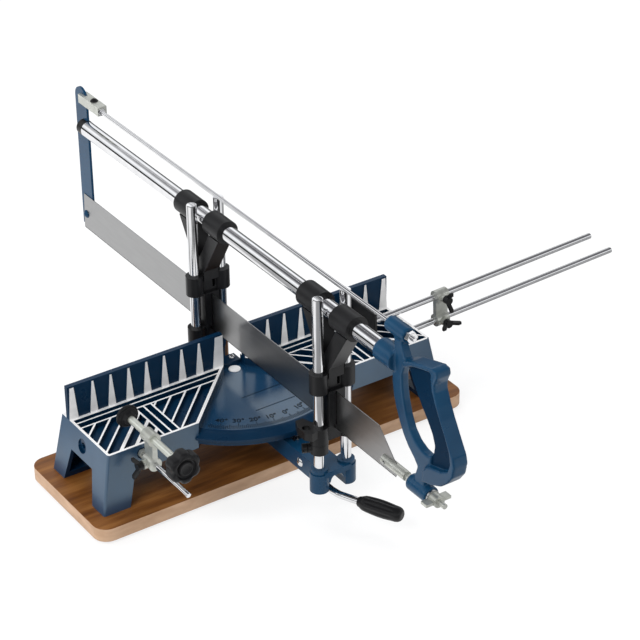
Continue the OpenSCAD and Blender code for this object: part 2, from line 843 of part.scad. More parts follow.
// Places its children at the right end wall, +X along the stop's rising rods.
module at_stop() {
    x = end_x + end_slope * (table_h - stop_z);
    translate([x, -stop_y, deck + stop_z])
        rotate([0, -stop_rise, 0])
            children();
}

module base_casting() {
    color([0.12, 0.27, 0.39])
        difference() {
            union() {
                half_casting();
                mirror([1, 0, 0])
                    half_casting();
                sector();
                end_boss();
                translate([-clamp_at, 0, deck + clamp_z])
                    bar_y(rod_nut_w * 0.86, -table_depth + wall / 2, -table_depth + 2.5 * wall);
                at_stop()
                    bar_x(end_recess_d, -2 * wall, -wall * 0.6);
            }
            translate([0, 0, deck])
                cylinder(d = pivot_d + 2 * fit, h = table_h);
            end_hole();
            at_stop() {
                bar_x(stop_rod_d + 2 * fit, -3 * wall, wall);
                bar_x(end_recess_d, -wall * 0.4, 2 * wall);
                bar_x(stop_nut_w * 1.04, -3 * wall - rod_nut_t, -2 * wall);
            }
            translate([-clamp_at, 0, deck + clamp_z]) {
                bar_y(clamp_rod_d + 2 * fit, -table_depth - 2 * wall, -table_depth + 4 * wall);
                bar_y(rod_nut_w + 2 * cut, -table_depth - 2 * wall, -table_depth);
            }
            at_leg_screws()
                translate([0, 0, deck - cut])
                    cylinder(d = leg_screw_d + 2 * fit, h = leg_plate_t + cut - cut / 2);
            translate([gap_half / 2, bridge_back - rear_screw_d, deck + bridge_z - rear_screw_h])
                cylinder(d = rear_screw_d / 2 + 2 * fit, h = rear_screw_h + cut);
        }
}

module pivot_pin() {
    top = deck + sector_z;
    bottom = arm_z0 - gap - pivot_nut_h - pivot_head_h;
    color([0.8, 0.8, 0.8]) {
        translate([0, 0, bottom])
            cylinder(d = pivot_d, h = top - bottom);
        translate([0, 0, top])
            cylinder(d = pivot_head_d, h = pivot_head_h);
    }
}

module pivot_nut() {
    color([0.55, 0.55, 0.55])
        translate([0, 0, arm_z0 - gap - pivot_nut_h])
            hex_nut(pivot_nut_w, pivot_nut_h, pivot_d + 2 * fit);
}

module rear_screw() {
    color([0.8, 0.8, 0.8])
        translate([gap_half / 2, bridge_back - rear_screw_d, deck + bridge_z]) {
            dome(rear_screw_d, rear_screw_h);
            translate([0, 0, -rear_screw_h])
                cylinder(d = rear_screw_d / 2, h = rear_screw_h);
        }
}

module clamp_rod() {
    color([0.75, 0.75, 0.75])
        translate([-clamp_at, 0, deck + clamp_z])
            bar_y(clamp_rod_d, -table_depth - clamp_rod_front, -table_depth + clamp_rod_back);
}

module clamp_rod_nut() {
    color([0.7, 0.7, 0.68])
        translate([-clamp_at, 0, deck + clamp_z]) {
            translate([0, -table_depth, 0])
                rotate([90, 0, 0])
                    hex_nut(rod_nut_w, rod_nut_t, clamp_rod_d + 2 * fit);
        }
}

module stop_support_rod() {
    color([0.8, 0.8, 0.8])
        at_stop()
            bar_x(stop_rod_d, -support_in, support_l);
}

module stop_rod_nuts() {
    color([0.7, 0.7, 0.68])
        at_stop() {
            for (x = [-wall * 0.4, -2 * wall - rod_nut_t])
                translate([x, 0, 0])
                    rotate([0, 90, 0])
                        rotate([0, 0, 30])
                            hex_nut(stop_nut_w, rod_nut_t, stop_rod_d + 2 * fit);
        }
}

// The two bosses that hold a pair of posts.
module boss_pair(y) {
    for (sx = [-1, 1])
        translate([sx * post_half, y, 0]) {
            translate([0, 0, arm_z0])
                cylinder(d = boss_d, h = boss_top - arm_bottom);
            translate([0, 0, arm_z0])
                cylinder(d = step_d, h = step_top - arm_bottom);
        }
}

module swing_arm() {
    beam_front = -front_reach + boss_d / 4;
    beam_back = rear_reach - boss_d / 4;
    hollow_top = arm_top - arm_wall;
    color([0.12, 0.27, 0.39])
        difference() {
            union() {
                translate([-arm_w / 2, beam_front, arm_z0])
                    cube([arm_w, beam_back - beam_front, arm_top - arm_bottom]);
                boss_pair(-front_reach);
                boss_pair(rear_reach);
                for (y = [-front_reach, rear_reach])
                    translate([-post_half, y - boss_d / 2, deck + boss_top - arm_wall])
                        cube([2 * post_half, boss_d, web_top - boss_top + arm_wall]);
                for (y = [-front_reach, rear_reach])
                    translate([-post_half, y - boss_d * 0.4, arm_z0])
                        cube([2 * post_half, boss_d * 0.8, boss_top - arm_bottom - arm_wall / 2]);
            }
            translate([-arm_w / 2 + arm_wall, -front_reach - boss_d, arm_z0 - cut])
                cube([arm_w - 2 * arm_wall, front_reach + boss_d - hub_d / 2,
                    hollow_top - arm_bottom + cut - arch_r]);
            translate([-arm_w / 2 + arm_wall, -front_reach + boss_d / 2, arm_z0])
                cube([arm_w - 2 * arm_wall, front_reach - boss_d / 2 - hub_d / 2,
                    hollow_top - arm_bottom]);
            translate([-arm_w / 2 + arm_wall, hub_d / 2, arm_z0 - cut])
                cube([arm_w - 2 * arm_wall, rear_reach - boss_d / 2 - hub_d / 2,
                    hollow_top - arm_bottom + cut]);
            translate([0, 0, arm_z0 + hollow_top - arm_bottom - arch_r])
                bar_y(2 * arch_r, -front_reach - boss_d, -front_reach + boss_d);
            for (sx = [-1, 1])
                for (y = [-front_reach, rear_reach])
                    translate([sx * post_half, y, deck + post_bottom])
                        cylinder(d = post_d + 2 * fit, h = step_top);
            translate([0, 0, deck])
                cylinder(d = pivot_d + 2 * fit, h = table_h);
            translate([0, -pin_reach, deck + pin_z])
                bar_x(pin_d + 2 * fit, -arm_w, arm_w);
            translate([-lever_hub_d / 2, -pawl_reach - pawl_w, deck + pin_z])
                cube([lever_hub_d, 2 * pawl_w, table_h]);
        }
}

module post_pair(y) {
    for (sx = [-1, 1])
        translate([sx * post_half, y, deck]) {
            translate([0, 0, post_bottom])
                cylinder(d = post_d, h = post_top - post_dome - post_bottom);
            translate([0, 0, post_top - post_dome])
                dome(post_d, post_dome);
        }
}

module front_posts() {
    color([0.85, 0.85, 0.85])
        post_pair(-front_reach);
}

module rear_posts() {
    color([0.85, 0.85, 0.85])
        post_pair(rear_reach);
}

module cross_pin() {
    color([0.8, 0.8, 0.8])
        translate([0, -pin_reach, deck + pin_z]) {
            bar_x(pin_d, -arm_w / 2, arm_w / 2);
            for (a = [-90, 90])
                rotate([0, a, 0])
                    translate([0, 0, arm_w / 2])
                        dome(pin_head_d, pin_head_h);
        }
}

// The rod's centre line, from the hub to the grip, in shares of the pin's reach and height.
lever_path_shares = [
    [0, -1.03, 0.72], [-0.012, -1.08, 0.30], [-0.028, -1.16, 0.05], [-0.032, -1.24, 0],
    [-0.032, -1.31, 0], [-0.020, -1.38, 0], [0.016, -1.46, 0]
];
lever_bends = [for (p = lever_path_shares)
    [p[0] * pin_reach, p[1] * pin_reach, lever_z + p[2] * (pin_z - lever_z)]];
lever_end = lever_bends[len(lever_bends) - 1] + grip_l / 4 * [sin(grip_turn), -cos(grip_turn), 0];
lever_path = concat(lever_bends, [lever_end]);

module lever_rod() {
    color([0.8, 0.8, 0.8])
        translate([0, 0, deck])
            difference() {
                union() {
                    bent_bar(lever_path, lever_d);
                    translate([0, -pin_reach, pin_z])
                        bar_x(lever_hub_d, -lever_hub_d / 2, 0);
                }
                translate([0, -pin_reach, pin_z])
                    bar_x(pin_d + 2 * fit, -lever_hub_d, lever_hub_d);
                translate([0, -pin_reach - lever_hub_d / 2 - gap, pin_z - lever_hub_d])
                    cube([lever_hub_d, lever_hub_d + gap, 2 * lever_hub_d]);
            }
}

// A bar of round section along a list of points, with flat ends.
module bent_bar(path, d) {
    sides = roundness / 2;
    last = len(path) - 1;
    rings = [for (i = [0 : last])
        let (v = path[min(i + 1, last)] - path[max(i - 1, 0)], t = v / norm(v),
            c = cross(t, [0, 0, 1]), s = c / norm(c), u = cross(s, t))
        for (k = [0 : sides - 1])
            path[i] + d / 2 * (cos(k * 360 / sides) * s + sin(k * 360 / sides) * u)];
    walls = [for (i = [0 : last - 1]) for (k = [0 : sides - 1])
        let (n = (k + 1) % sides)
            [i * sides + k, i * sides + n, (i + 1) * sides + n, (i + 1) * sides + k]];
    start = [for (k = [0 : sides - 1]) sides - 1 - k];
    finish = [for (k = [0 : sides - 1]) last * sides + k];
    polyhedron(rings, concat(walls, [start, finish]));
}

module lever_grip() {
    color([0.1, 0.1, 0.1])
        translate(lever_end + [0, 0, deck])
            rotate([90, 0, grip_turn])
                difference() {
                    rotate_extrude()
                        polygon([[0, -grip_l * 0.06], [grip_near_d / 2, -grip_l * 0.06],
                            [grip_mid_d * 0.44, grip_l * 0.12],
                            [grip_mid_d / 2, grip_l * 0.45], [grip_mid_d / 2, grip_l * 0.6],
                            [grip_end_d / 2, grip_l * 0.88], [grip_end_d * 0.38, grip_l * 0.94],
                            [0, grip_l * 0.94]]);
                    translate([0, 0, -grip_l])
                        cylinder(d = lever_d + 2 * fit, h = grip_l);
                    for (a = [0 : 60 : 300])
                        rotate([0, 0, a])
                            translate([grip_mid_d * 0.62, 0, grip_l * 0.08])
                                cylinder(d = grip_mid_d * 0.34, h = grip_l * 0.72);
                }
}

module lever_pawl() {
    tip = deck + pawl_tip_z;
    color([0.5, 0.5, 0.5])
        difference() {
            union() {
                translate([0, -pin_reach, deck + pin_z])
                    bar_x(lever_hub_d, 0, lever_hub_d / 2);
                translate([0, -pin_reach, deck + pin_z - pin_d / 2])
                    cube([pawl_t, pin_reach - pawl_reach + pawl_w / 2, pin_d]);
                translate([-pawl_t / 2, -pawl_reach - pawl_w / 2, deck + pin_z - pin_d / 2])
                    cube([1.5 * pawl_t, pawl_w, pin_d]);
                translate([-pawl_t / 2, -pawl_reach - pawl_w / 2, deck + pin_z])
                    cube([pawl_t, pawl_w, tip - deck - pin_z]);
            }
            translate([0, -pin_reach, deck + pin_z])
                bar_x(pin_d + 2 * fit, -lever_hub_d, lever_hub_d);
        }
}

// Places its children on the depth screw's axis, +X outwards from the post.
module at_depth_screw() {
    translate([-post_half, -front_reach, deck + collar_z + collar_h / 2])
        rotate([0, 0, 180 - screw_turn])
            children();
}

module depth_collar() {
    color([0.1, 0.1, 0.1])
        difference() {
            union() {
                translate([-post_half, -front_reach, deck + collar_z])
                    cylinder(d = collar_d, h = collar_h);
                at_depth_screw()
                    bar_x(collar_h * 0.9, 0, depth_head_out - gap);
            }
            translate([-post_half, -front_reach, deck])
                cylinder(d = post_d + 2 * fit, h = post_top);
            at_depth_screw()
                bar_x(depth_screw_d + 2 * fit, 0, 2 * depth_head_out);
        }
}

module depth_screw() {
    color([0.12, 0.12, 0.12])
        at_depth_screw() {
            bar_x(depth_screw_d, post_r + gap, depth_head_out);
            difference() {
                bar_x(depth_head_d, depth_head_out, depth_head_out + depth_head_h);
                translate([depth_head_out + depth_head_h * 0.6, -depth_head_d, -depth_head_d * 0.07])
                    cube([depth_head_h, 2 * depth_head_d, depth_head_d * 0.14]);
            }
        }
}

// A guide's frame about a pair of posts at y = 0: sleeves, plates, spines, neck, struts, rings.
module guide_frame(ring_d) {
    low = deck + low_z;
    up = deck + up_z;
    strut_z = deck + tube_z - ring_d * 0.42;
    slot_half = blade_t / 2 + blade_play;
    difference() {
        union() {
            for (sx = [-1, 1])
                translate([sx * post_half, 0, 0]) {
                    translate([0, 0, low])
                        cylinder(d = sleeve_d, h = low_h);
                    translate([0, 0, up])
                        cylinder(d = sleeve_d, h = up_h);
                }
            translate([-post_half, -guide_t / 2, low])
                cube([2 * post_half, guide_t, low_h - gap]);
            translate([-post_half, -guide_t / 2, up + gap])
                cube([2 * post_half, guide_t, up_h - gap]);
            for (sx = [-1, 1])
                translate([sx * (slot_half + neck_w / 2) / 2 - (neck_w / 2 - slot_half) / 2,
                    block_depth / 2 - fit, low])
                    cube([neck_w / 2 - slot_half, spine_t, up + up_h - low]);
            for (z = [low, up + gap])
                translate([-neck_w / 2, 0, z])
                    cube([neck_w, block_depth / 2 + spine_t, (z == low ? low_h : up_h) - gap]);
            translate([-neck_w / 2, -block_depth / 2, up + up_h * 0.7])
                cube([neck_w, block_depth + spine_t, neck_top - up_z - up_h * 0.7]);
            for (sy = [-1, 1])
                rotate([90, 0, 90])
                    translate([0, 0, -neck_w / 2])
                        linear_extrude(neck_w)
                            polygon([[-sy * block_depth * 0.4, deck + neck_top - neck_w * 0.45],
                                [sy * block_depth * 0.6, deck + neck_top - neck_w * 0.6],
                                [sy * (ring_out + ring_l * 0.34), strut_z],
                                [sy * (ring_out - ring_l * 0.3), strut_z],
                                [0, deck + neck_top + neck_w * 0.15]]);
            for (sy = [-1, 1])
                translate([0, sy * ring_out, deck + tube_z])
                    bar_y(ring_d, -ring_l / 2, ring_l / 2);
        }
        for (sx = [-1, 1])
            translate([sx * post_half, 0, 0])
                cylinder(d = post_d + 2 * fit, h = deck + post_top);
        translate([0, 0, deck + tube_z])
            bar_y(tube_d + 2 * fit, -ring_out - ring_l, ring_out + ring_l);
        translate([-slot_half, -sleeve_d, deck + blade_z - 2 * blade_play])
            cube([2 * slot_half, 2 * sleeve_d + spine_t, up_z + gap - blade_z + 2 * blade_play]);
        translate([post_half * 0.2, -sleeve_d, up + up_h * 0.18])
            cube([post_half * 0.2, sleeve_d + guide_t, up_h * 0.5]);
    }
}

// The block between a guide's plates, with the blade's slot.
module blade_guide() {
    z0 = deck + low_z + low_h - gap;
    z1 = deck + up_z + gap;
    slot_half = blade_t / 2 + blade_play;
    difference() {
        translate([-block_w / 2, -block_depth / 2, z0])
            cube([block_w, block_depth - fit, z1 - z0]);
        translate([-slot_half, -block_depth, z0 - cut])
            cube([2 * slot_half, 2 * block_depth, deck + blade_z + blade_w + 2 * blade_play - z0 + cut]);
        for (sx = [-1, 1])
            for (z = [z0 - cut, z1 - gap - fit])
                translate([sx * post_half, 0, z])
                    cylinder(d = sleeve_d + 2 * fit, h = gap + cut + fit);
    }
}

module front_guide_frame() {
    color([0.13, 0.13, 0.13])
        translate([0, -front_reach, 0]) {
            guide_frame(front_ring_d);
            difference() {
                translate([-post_half, 0, deck + low_z + low_h - lug_t])
                    linear_extrude(lug_t)
                        polygon([[-post_half * 0.4, -sleeve_d * 0.4], [-sleeve_d * 0.75, -sleeve_d * 0.5],
                            [-sleeve_d, -sleeve_d * 0.15], [-sleeve_d, sleeve_d * 0.5],
                            [-sleeve_d * 0.75, sleeve_d * 1.1], [-sleeve_d * 0.3, sleeve_d * 1.1],
                            [-sleeve_d * 0.1, sleeve_d * 0.45]]);
                translate([-post_half - sleeve_d * 0.66, sleeve_d * 0.2, deck + low_z])
                    cylinder(d = lug_hole_d, h = 2 * low_h);
                translate([-post_half, 0, deck])
                    cylinder(d = post_d + 2 * fit, h = post_top);
            }
        }
}

module front_blade_guide() {
    color([0.08, 0.08, 0.08])
        translate([0, -front_reach, 0])
            blade_guide();
}

module rear_guide_frame() {
    color([0.13, 0.13, 0.13])
        translate([0, rear_reach, 0])
            guide_frame(rear_ring_d);
}

module rear_blade_guide() {
    color([0.08, 0.08, 0.08])
        translate([0, rear_reach, 0])
            blade_guide();
}

module saw_tube() {
    color([0.85, 0.85, 0.85])
        translate([0, 0, deck + tube_z])
            difference() {
                bar_y(tube_d, -tube_front, tube_back);
                bar_y(tube_d - 2 * tube_wall, -tube_front - cut, tube_back + cut);
            }
}

module tube_end_plug() {
    strip_x = blade_t / 2;
    color([0.1, 0.1, 0.1])
        translate([0, 0, deck + tube_z])
            difference() {
                union() {
                    bar_y(tube_d, tube_back, tube_back + plug_out);
                    bar_y(tube_d - 2 * tube_wall - 2 * fit, tube_back - tube_d, tube_back);
                }
                translate([strip_x - fit, strip_front - fit, -tube_d])
                    cube([strip_t + 2 * fit, 2 * tube_d, 2 * tube_d]);
            }
}

module rear_strip() {
    top_r = strip_w / 2;
    mid_y = strip_front + strip_w / 2;
    color([0.12, 0.27, 0.39])
        difference() {
            union() {
                translate([blade_t / 2, strip_front, deck + strip_bottom])
                    cube([strip_t, strip_w, strip_top - top_r - strip_bottom]);
                translate([blade_t / 2, mid_y, deck + strip_top - top_r])
                    bar_x(strip_w, 0, strip_t);
            }
            translate([0, blade_screw_y, deck + blade_screw_z])
                bar_x(2 * holder_pin_d / 1.5 + 2 * fit, -cut, 2 * strip_t);
            translate([0, strip_front - cut, deck + tie_z - tie_d / 2 - fit])
                cube([2 * strip_t, cut + strip_w * 0.45, tie_d + 2 * fit]);
        }
}

module clevis() {
    mid_x = blade_t / 2 + strip_t / 2;
    color([0.72, 0.74, 0.70])
        difference() {
            translate([mid_x - clevis_w / 2, clevis_front, deck + tie_z - clevis_h / 2])
                cube([clevis_w, clevis_back - clevis_front, clevis_h]);
            translate([blade_t / 2 - fit, strip_front - fit, deck + tie_z - clevis_h])
                cube([strip_t + 2 * fit, strip_w, 2 * clevis_h]);
            translate([0, 0, deck + tie_z])
                bar_y(tie_d + 2 * fit, clevis_front - cut, clevis_front + 2 * tie_d);
            translate([mid_x - clevis_w * 0.3, clevis_front + 2 * tie_d, deck + tie_z - clevis_h])
                cube([clevis_w * 0.6, clevis_back - clevis_front, clevis_h * 1.25]);
            translate([mid_x, clevis_front + clevis_w * 1.6, deck + tie_z])
                cylinder(d = tie_d * 0.75 + 2 * fit, h = clevis_h);
        }
}

module clevis_screw() {
    mid_x = blade_t / 2 + strip_t / 2;
    color([0.1, 0.1, 0.1])
        translate([mid_x, clevis_front + clevis_w * 1.6, deck + tie_z + clevis_h / 2]) {
            dome(clevis_w * 0.8, tie_d * 0.7);
            translate([0, 0, -clevis_h * 0.3])
                cylinder(d = tie_d * 0.75, h = clevis_h * 0.3);
        }
}

module tie_rod() {
    color([0.75, 0.75, 0.75])
        translate([0, 0, deck + tie_z])
            bar_y(tie_d, -upper_boss_y - upper_boss_l - washer_t * 4, clevis_front + 2 * tie_d);
}

module tie_nuts() {
    color([0.75, 0.75, 0.75])
        translate([0, 0, deck + tie_z]) {
            translate([0, -upper_boss_y - upper_boss_l, 0])
                rotate([90, 0, 0])
                    hex_nut(upper_boss_d * 0.8, washer_t * 2.5, tie_d + 2 * fit);
            translate([0, clevis_front, 0])
                rotate([90, 0, 0])
                    hex_nut(tie_d * 1.9, washer_t * 1.5, tie_d + 2 * fit);
        }
}

// The outline of the handle in a share list, as points in its own plane (depth, height).
function handle_points(shares) = [for (p = shares)
    [-handle_y - p[0] * handle_l, deck + handle_z + p[1] * handle_h]];

// A slab across X from an outline in the Y-Z plane.
module handle_slab(points, t) {
    rotate([90, 0, 90])
        translate([0, 0, -t / 2])
            linear_extrude(t)
                polygon(points);
}

module handle() {
    color([0.12, 0.27, 0.39])
        difference() {
            union() {
                handle_slab(handle_points(handle_frame_shares), handle_t);
                handle_slab(handle_points(handle_web_shares), web_t);
                handle_slab(handle_points(handle_rim_shares), grip_t);
                translate([0, 0, deck + tube_z])
                    bar_y(socket_d, -handle_y - socket_l, -handle_y);
                translate([0, 0, deck + tie_z])
                    bar_y(upper_boss_d, -upper_boss_y - upper_boss_l, -upper_boss_y);
                translate([0, 0, deck + holder_z])
                    bar_y(lower_boss_d, -lower_boss_y - lower_boss_l, -lower_boss_y);
            }
            translate([0, 0, deck + tube_z])
                bar_y(tube_d + 2 * fit, -tube_front, -handle_y + cut);
            translate([0, 0, deck + tie_z])
                bar_y(tie_d + 2 * fit, -upper_boss_y - 2 * upper_boss_l, -upper_boss_y + cut);
            translate([0, 0, deck + holder_z])
                bar_y(draw_w + 2 * fit, -lower_boss_y - 2 * lower_boss_l, -lower_boss_y + cut);
        }
}

module saw_blade() {
    top = deck + blade_z + blade_w;
    color([0.62, 0.62, 0.62])
        difference() {
            rotate([90, 0, 90])
                translate([0, 0, -blade_t / 2])
                    linear_extrude(blade_t)
                        polygon([[-blade_front, deck + blade_z], [blade_back, deck + blade_z],
                            [blade_back - blade_w * 0.07, top], [-blade_front + blade_w * 0.65, top],
                            [-blade_front + blade_w * 0.08, top - blade_w * 0.58],
                            [-blade_front, top - blade_w * 0.62]]);
            translate([0, -holder_pin_y, deck + holder_z])
                bar_x(holder_pin_d + 2 * fit, -blade_w, blade_w);
            translate([0, blade_screw_y, deck + blade_screw_z])
                bar_x(2 * holder_pin_d / 1.5 + 2 * fit, -blade_w, blade_w);
        }
}

module blade_rear_screw() {
    shank = 2 * holder_pin_d / 1.5;
    color([0.1, 0.15, 0.25])
        translate([0, blade_screw_y, deck + blade_screw_z]) {
            bar_x(shank, -blade_t / 2, blade_t / 2 + strip_t + shank);
            translate([-blade_t / 2, 0, 0])
                rotate([0, -90, 0])
                    dome(2.2 * shank, 0.7 * shank);
            translate([blade_t / 2 + strip_t, 0, 0])
                rotate([0, 90, 0])
                    hex_nut(2 * shank, 0.75 * shank, shank);
        }
}

module blade_holder() {
    color([0.72, 0.74, 0.70])
        translate([0, 0, deck + holder_z])
            difference() {
                bar_y(holder_d, -holder_front, -holder_back);
                translate([-blade_t / 2 - fit, -blade_front - gap, -holder_d])
                    cube([blade_t + 2 * fit, blade_front, 2 * holder_d]);
                translate([0, -holder_pin_y, 0])
                    bar_x(holder_pin_d + 2 * fit, -holder_d, holder_d);
                bar_y(draw_w * 0.8 + 2 * fit, -holder_front - cut, -holder_front + draw_w);
            }
}

module holder_pin() {
    color([0.75, 0.75, 0.75])
        translate([0, -holder_pin_y, deck + holder_z])
            bar_x(holder_pin_d, -holder_d * 0.62, holder_d * 0.62);
}

module draw_bar() {
    color([0.72, 0.74, 0.70])
        translate([0, 0, deck + holder_z]) {
            bar_y(draw_w * 0.8, -holder_front, -holder_front + draw_w);
            translate([-draw_w / 2, -lower_boss_y, -draw_w / 2])
                cube([draw_w, lower_boss_y - holder_front, draw_w]);
            bar_y(draw_w, -draw_front, -lower_boss_y);
        }
}

module tension_washer() {
    color([0.75, 0.75, 0.75])
        translate([0, -lower_boss_y - lower_boss_l, deck + holder_z])
            difference() {
                bar_y(washer_d, -washer_t, 0);
                bar_y(draw_w + 2 * fit, -washer_t - cut, cut);
            }
}

module tension_nut() {
    y = -lower_boss_y - lower_boss_l - washer_t;
    color([0.72, 0.74, 0.70])
        translate([0, y, deck + holder_z])
            difference() {
                union() {
                    bar_y(washer_d * 0.85, -nut_l, 0);
                    rotate([90, 0, 0])
                        linear_extrude(nut_l * 0.9)
                            polygon([[-nut_span / 2, washer_t * 0.7], [-nut_span / 2, -washer_t * 0.7],
                                [nut_span / 2, -washer_t * 0.7], [nut_span / 2, washer_t * 0.7]]);
                }
                bar_y(draw_w + 2 * fit, -nut_l - cut, cut);
                translate([-nut_span, -nut_l * 0.45 + nut_l, -nut_l])
                    cube([nut_span, nut_l, 2 * nut_l]);
            }
}

// A bracket along +X with its lower ring on the X axis and its upper ring above it.
module bracket(low_bore, up_bore, screw_low, screw_up) {
    difference() {
        union() {
            bar_x(bracket_d, 0, bracket_l);
            translate([0, 0, ring_gap])
                bar_x(bracket_d, 0, bracket_l);
            translate([0, -bracket_web / 2, 0])
                cube([bracket_l, bracket_web, ring_gap]);
            for (s = concat(screw_low ? [0] : [], screw_up ? [ring_gap] : []))
                translate([bracket_l / 2, 0, s])
                    bar_y(wing_boss_d, -wing_out + gap, 0);
        }
        bar_x(low_bore + 2 * fit, -cut, bracket_l + cut);
        translate([0, 0, ring_gap])
            bar_x(up_bore + 2 * fit, -cut, bracket_l + cut);
        for (s = concat(screw_low ? [0] : [], screw_up ? [ring_gap] : []))
            translate([bracket_l / 2, 0, s])
                bar_y(wing_screw_d + 2 * fit, -2 * wing_out, 0);
    }
}

// A wing screw along -Y whose shank stops short of a rod of the given diameter.
module wing_screw(rod) {
    bar_y(wing_screw_d, -wing_out, -rod / 2 - gap);
    bar_y(wing_boss_d * 0.9, -wing_out - wing_h * 0.55, -wing_out);
    translate([-wing_t / 2, -wing_out, 0])
        rotate([90, 0, 90])
            linear_extrude(wing_t)
                polygon([[-wing_h * 0.1, -wing_span * 0.16], [-wing_h * 0.75, -wing_span / 2],
                    [-wing_h, -wing_span / 2], [-wing_h, -wing_span * 0.34],
                    [-wing_h * 0.5, -wing_span * 0.1], [-wing_h * 0.5, wing_span * 0.1],
                    [-wing_h, wing_span * 0.34], [-wing_h, wing_span / 2],
                    [-wing_h * 0.75, wing_span / 2], [-wing_h * 0.1, wing_span * 0.16]]);
}

// Places its children on the clamp's rod at the bracket's front face, +X towards the fence.
module at_clamp() {
    translate([-clamp_at, -table_depth - clamp_front, deck + clamp_z])
        rotate([0, 0, 90])
            children();
}

module clamp_bracket() {
    color([0.72, 0.74, 0.70])
        at_clamp()
            mirror([0, 1, 0])
                bracket(clamp_rod_d, spindle_d, true, false);
}

module clamp_wing_screw() {
    color([0.1, 0.1, 0.1])
        at_clamp()
            translate([bracket_l / 2, 0, 0])
                mirror([0, 1, 0])
                    wing_screw(clamp_rod_d);
}

module clamp_spindle() {
    color([0.75, 0.75, 0.75])
        translate([-clamp_at, 0, deck + upper_ring_z])
            bar_y(spindle_d, -table_depth - knob_front + knob_t * 0.4, -table_depth + spindle_back);
}

module clamp_knob() {
    lobe = knob_d * 0.24;
    color([0.1, 0.1, 0.1])
        translate([-clamp_at, -table_depth - knob_front + knob_t, deck + upper_ring_z])
            rotate([90, 0, 0])
                difference() {
                    union() {
                        cylinder(d = knob_d - lobe, h = knob_t);
                        for (i = [0 : knob_lobes - 1])
                            rotate([0, 0, (i + 0.5) * 360 / knob_lobes])
                                translate([knob_d / 2 - lobe / 2, 0, 0])
                                    cylinder(d = lobe, h = knob_t);
                    }
                    translate([0, 0, -cut])
                        cylinder(d = spindle_d + 2 * fit, h = knob_t * 0.6 + cut);
                    translate([0, 0, knob_t * 0.8])
                        cylinder(d = knob_d * 0.5, h = knob_t);
                }
}

module clamp_pad() {
    color([0.06, 0.06, 0.07])
        translate([-clamp_at, -table_depth + spindle_back + gap, deck + upper_ring_z])
            difference() {
                union() {
                    bar_y(pad_round_d, 0, pad_round_t);
                    bar_y(pad_socket_d, -pad_socket_l, 0);
                }
                bar_y(spindle_d + 2 * fit, -pad_socket_l - cut, 0);
            }
}

module stop_bracket() {
    color([0.72, 0.74, 0.70])
        at_stop()
            translate([stop_bracket_x, 0, 0])
                bracket(stop_rod_d, stop_rod_d, true, true);
}

module support_wing_screw() {
    color([0.1, 0.1, 0.1])
        at_stop()
            translate([stop_bracket_x + bracket_l / 2, 0, 0])
                rotate([0, 90, 0])
                    wing_screw(stop_rod_d);
}

module stop_wing_screw() {
    color([0.1, 0.1, 0.1])
        at_stop()
            translate([stop_bracket_x + bracket_l / 2, 0, ring_gap])
                wing_screw(stop_rod_d);
}

module stop_rod() {
    color([0.8, 0.8, 0.8])
        at_stop()
            translate([0, 0, ring_gap])
                bar_x(stop_rod_d, -stop_rod_left, stop_rod_right);
}

module stop_plate() {
    color([0.1, 0.1, 0.1])
        at_stop()
            translate([-stop_rod_left, 0, ring_gap])
                difference() {
                    union() {
                        translate([-stop_plate_t, stop_y - stop_plate_y - stop_plate_w, -stop_plate_low])
                            cube([stop_plate_t, stop_plate_w, stop_plate_h]);
                        bar_x(stop_hub_d, -stop_plate_t, stop_hub_l);
                    }
                    bar_x(stop_rod_d + 2 * fit, 0, stop_hub_l + cut);
                }
}

base_board();
board_feet();
leg_screws();
base_casting();
pivot_pin();
pivot_nut();
rear_screw();
clamp_rod();
clamp_rod_nut();
stop_support_rod();
stop_rod_nuts();
swing_arm();
front_posts();
rear_posts();
cross_pin();
lever_rod();
lever_grip();
lever_pawl();
depth_collar();
depth_screw();
front_guide_frame();
front_blade_guide();
rear_guide_frame();
rear_blade_guide();
saw_tube();
tube_end_plug();
rear_strip();
clevis();
clevis_screw();
tie_rod();
tie_nuts();
handle();
saw_blade();
blade_rear_screw();
blade_holder();
holder_pin();
draw_bar();
tension_washer();
tension_nut();
clamp_bracket();
clamp_wing_screw();
clamp_spindle();
clamp_knob();
clamp_pad();
stop_bracket();
support_wing_screw();
stop_wing_screw();
stop_rod();
stop_plate();
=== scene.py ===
# %% [markdown]
# # A manual mitre saw, dressed for a product picture
# A mitre saw like this is a small machine made of castings, rods and moulded parts. It could be
# modelled in Blender from nothing, but then every sliding fit would have to be found by eye. So
# the solids come from a CAD model, which fixes every size, and this script gives each of them its
# finish. It also makes the shapes that a camera looks at closely: rounded edges, the blade's
# teeth, the grip's flutes, and the strokes and numbers of the scale.

# %% Load the frame
import json
import math
import bmesh
import bpy
from mathutils import Matrix, Vector


